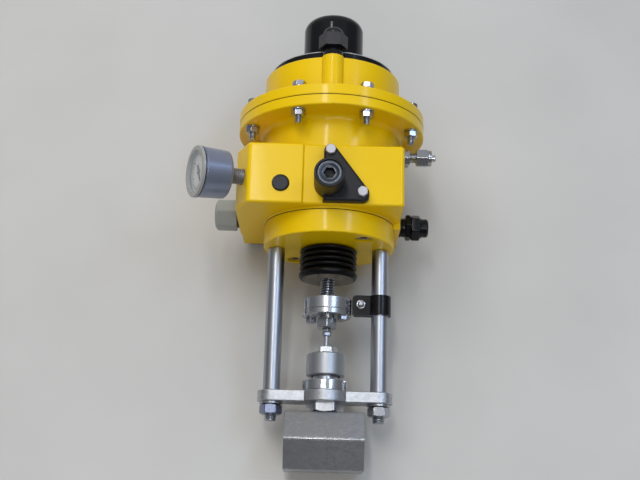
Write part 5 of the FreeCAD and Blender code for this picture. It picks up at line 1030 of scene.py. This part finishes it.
def adjuster():
    """Socket screw in the black bracket, whose heights are counted from its dished face."""
    radius = 10.3
    foot = -8.9
    bowl = [(radius, -0.6), (9.8, -0.1), (9.6, 0.0), (8.0, 0.0), (7.5, -0.15), (6.9, -0.5), (6.2, -0.9),
            (5.3, -1.2)]
    face = placed(ADJUSTER_FACE, (0, -1, 0))
    socket = [hex_reach(a, 8.4, 1.0) for a in HEX_STEPS]
    mouth = (socket, -1.25)
    shape = Shape()
    shape.loft(hex_rings([(radius, foot), *bowl, mouth]), face, ends=(True, False))
    shape.loft(hex_rings([mouth, (socket, -7.5), (0.1, -8.4)]), face, ends=(False, True), spot=1)
    shape.turn([(5.0, -37.2), (5.0, foot)], face, 48)
    shape.build("adjuster_head", [BLUED, BLACK_PAINT], "adjuster_screw", "adjuster", sharp=40)


def bracket_screws():
    """Two small screws that hold the bracket."""
    shape = Shape()
    for (x, z), turn in zip(BRACKET_SCREWS, (12, 40)):
        place = placed((x, BRACKET_FACE, z), (0, -1, 0))
        swung = place @ placed((0, 0, 0), first=polar(turn))
        hexagon(shape, 7.6, 3.4, swung, low=False, face=0.95, slope=0.9)
        shape.turn([(2.5, -15.0), (2.5, 0.1)], place, 28)
    shape.build("bracket_screw_heads", [PALE_ZINC], "bracket_screws")


def clamp_fasteners():
    """The indicator clamp's screw and the nut on its front."""
    face = 4.8
    place = placed((CLAMP_SCREW_X, 0, CLAMP_LEVEL), (0, -1, 0))
    nut = Shape()
    hexagon(nut, 7.0, 3.2, place @ placed((0, 0, face), first=polar(15)), hole=2.7)
    nut.build("clamp_hexagon_nut", [ZINC], "clamp_nut")

    screw = Shape()
    thread(screw, 2.0, 0.7, -4.0, 10.9, place, segments=28, chamfer=(0, 0.5))
    socket_screw(screw, placed((CLAMP_SCREW_X, face, CLAMP_LEVEL), (0, 1, 0)), 3.5, 3.5, 3.0, 2.0)
    screw.build("clamp_socket_screw", [ZINC], "clamp_screw")


def cover_screws():
    """Four screws of the rear cover."""
    shape = Shape()
    for x in COVER_SCREWS_X:
        for z in COVER_SCREWS_Z:
            place = placed((x, COVER_FACE, z), (0, 1, 0))
            socket_screw(shape, place, 3.5, 2.4, 2.5, 1.4, round_off=0.9)
            shape.turn([(2.0, -16.6), (2.0, 0.1)], place, 24)
    shape.build("cover_screw_heads", [ZINC], "rear_cover_screws")


casing_fasteners()
joint_lips()
flange_seam()
plate_edge()
yoke_fasteners()
bonnet()
slotted_nut()
packing_nut()
stem_nuts()
coupling()
spindle()
bellows()
flange_screws()
body()
gauge()
left_gland()
right_gland()
tube_fitting()
panel_plug()
adjuster()
bracket_screws()
clamp_fasteners()
cover_screws()


# Camera, fitted to the photo's outlines
FOCAL_PIXELS = 1085.6
IMAGE_WIDTH = 640
SENSOR_WIDTH = 36.0
CAMERA_PLACE = (-6.15, -878.1, -68.9)
CAMERA_FORWARD = (-0.0014, 0.9587, 0.2845)
CAMERA_RIGHT = (0.9996, -0.0064, 0.0264)


def camera():
    """The camera that sees the object as the photo does."""
    data = bpy.data.cameras.new("camera")
    data.sensor_width = SENSOR_WIDTH
    data.lens = FOCAL_PIXELS / IMAGE_WIDTH * SENSOR_WIDTH
    data.clip_start = 0.01
    data.clip_end = 50.0
    made = link_object("camera", data)
    forward = Vector(CAMERA_FORWARD).normalized()
    right = Vector(CAMERA_RIGHT)
    right = (right - forward * right.dot(forward)).normalized()
    place = [value * MM for value in CAMERA_PLACE]
    rows = zip(right, right.cross(forward), -forward, place)
    made.matrix_world = Matrix((*rows, (0, 0, 0, 1)))
    bpy.context.scene.camera = made


camera()

# Floor behind the body's ridge and the rear cover's lower edge, with its width and heights in metres
FLOOR_SLOPE = 0.2171
FLOOR_START = 21.6 * MM
FLOOR_HALF_WIDTH = 1.6
FLOOR_LOW = -1.3
FLOOR_HIGH = 1.9


def floor_material():
    """A pale matt floor that shows from its upper side only."""
    nodes = Nodes("floor_pale")
    color = nodes.mix(nodes.spread(nodes.noise(6), 0, 1), srgb(188, 186, 182), srgb(195, 193, 189))
    nodes.link(color, nodes.shader.inputs["Base Color"])
    nodes.shader.inputs["Roughness"].default_value = 0.75
    clear = nodes.node("ShaderNodeBsdfTransparent")
    chosen = nodes.node("ShaderNodeMixShader")
    side = nodes.node("ShaderNodeNewGeometry")
    nodes.link(side.outputs["Backfacing"], chosen.inputs[0])
    nodes.link(nodes.shader.outputs[0], chosen.inputs[1])
    nodes.link(clear.outputs[0], chosen.inputs[2])
    nodes.link(chosen.outputs[0], nodes.tree.nodes["Material Output"].inputs["Surface"])
    return nodes.material


def floor():
    """The floor that the valve lies on."""
    mesh = bpy.data.meshes.new("floor")
    points = []
    for z in (FLOOR_LOW, FLOOR_HIGH):
        for x in (-FLOOR_HALF_WIDTH, FLOOR_HALF_WIDTH):
            points.append((x, FLOOR_START + FLOOR_SLOPE * z, z))
    mesh.from_pydata(points, [], [(0, 1, 3, 2)])
    mesh.materials.append(floor_material())
    made = link_object("floor", mesh)
    made.visible_shadow = False


floor()

# Lamps, with places and sizes in metres and powers in watts
MIDDLE = (0, 0, 0.2)


def lamp(name, place, size, power, color=(1, 1, 1), mirrored=True, lights=True):
    """A soft rectangular lamp that points at the object's middle.

    Gloss doesn't show one that isn't mirrored. One that doesn't light is seen in gloss only.
    """
    data = bpy.data.lights.new(name, "AREA")
    data.shape = "RECTANGLE"
    data.size, data.size_y = size
    data.energy = power
    data.color = color
    made = link_object(name, data)
    made.location = place
    made.visible_glossy = mirrored
    made.visible_diffuse = lights
    direction = Vector(MIDDLE) - Vector(place)
    made.rotation_euler = direction.to_track_quat("-Z", "Z").to_euler()


lamp("key", (-0.22, -1.55, 0.74), (0.14, 0.85), 5.7)
lamp("side", (-0.75, -1.25, 0.95), (0.5, 0.5), 4.4, mirrored=False)
lamp("window", (0.85, -1.35, 0.6), (0.2, 0.9), 5, (0.5, 0.7, 1.0))
lamp("fill", (0.0, -1.3, -0.6), (1.2, 0.8), 6.2, mirrored=False)
lamp("low", (0.3, -1.45, -0.17), (0.35, 0.12), 2.6, lights=False)
lamp("ceiling", (-0.3, -0.9, 1.35), (1.2, 0.8), 5.5, mirrored=False)
lamp("back", (0.4, 1.7, 0.9), (1.2, 1.0), 10)

# Studio walls, as shares of their brightest light
WALL_LIGHT = 0.45
LOW_SHARE = 0.3
SIDE_SHARE = 0.42


def studio():
    """A studio whose walls are pale above and behind, and darker low down and at the sides."""
    made = bpy.data.worlds.new("studio")
    made.use_nodes = True
    tree = made.node_tree
    place = tree.nodes.new("ShaderNodeTexCoord").outputs["Generated"]
    split = tree.nodes.new("ShaderNodeSeparateXYZ")
    tree.links.new(place, split.inputs[0])

    def step(source, low, high, at_low, at_high):
        part = tree.nodes.new("ShaderNodeMapRange")
        part.interpolation_type = "SMOOTHSTEP"
        for socket, value in zip(("From Min", "From Max", "To Min", "To Max"), (low, high, at_low, at_high)):
            part.inputs[socket].default_value = value
        tree.links.new(source, part.inputs["Value"])
        return part.outputs["Result"]

    def both(operation, a, b):
        part = tree.nodes.new("ShaderNodeMath")
        part.operation = operation
        for socket, value in zip(part.inputs, (a, b)):
            if isinstance(value, float):
                socket.default_value = value
            else:
                tree.links.new(value, socket)
        return part.outputs[0]

    aside = both("ABSOLUTE", split.outputs["X"], 0.0)
    upper = step(split.outputs["Z"], -0.75, 0.35, LOW_SHARE, 1.0)
    middle = step(aside, 0.45, 0.95, 1.0, SIDE_SHARE)
    behind = step(split.outputs["Y"], 0.0, 0.5, 0.0, 1.0)
    level = both("MAXIMUM", both("MULTIPLY", upper, middle), behind)
    light = both("MULTIPLY", level, WALL_LIGHT)
    background = tree.nodes["Background"]
    background.inputs["Color"].default_value = (0.95, 0.97, 1.0, 1.0)
    tree.links.new(light, background.inputs["Strength"])
    bpy.context.scene.world = made


studio()

bpy.context.scene.view_settings.view_transform = "Standard"
bpy.context.view_layer.update()
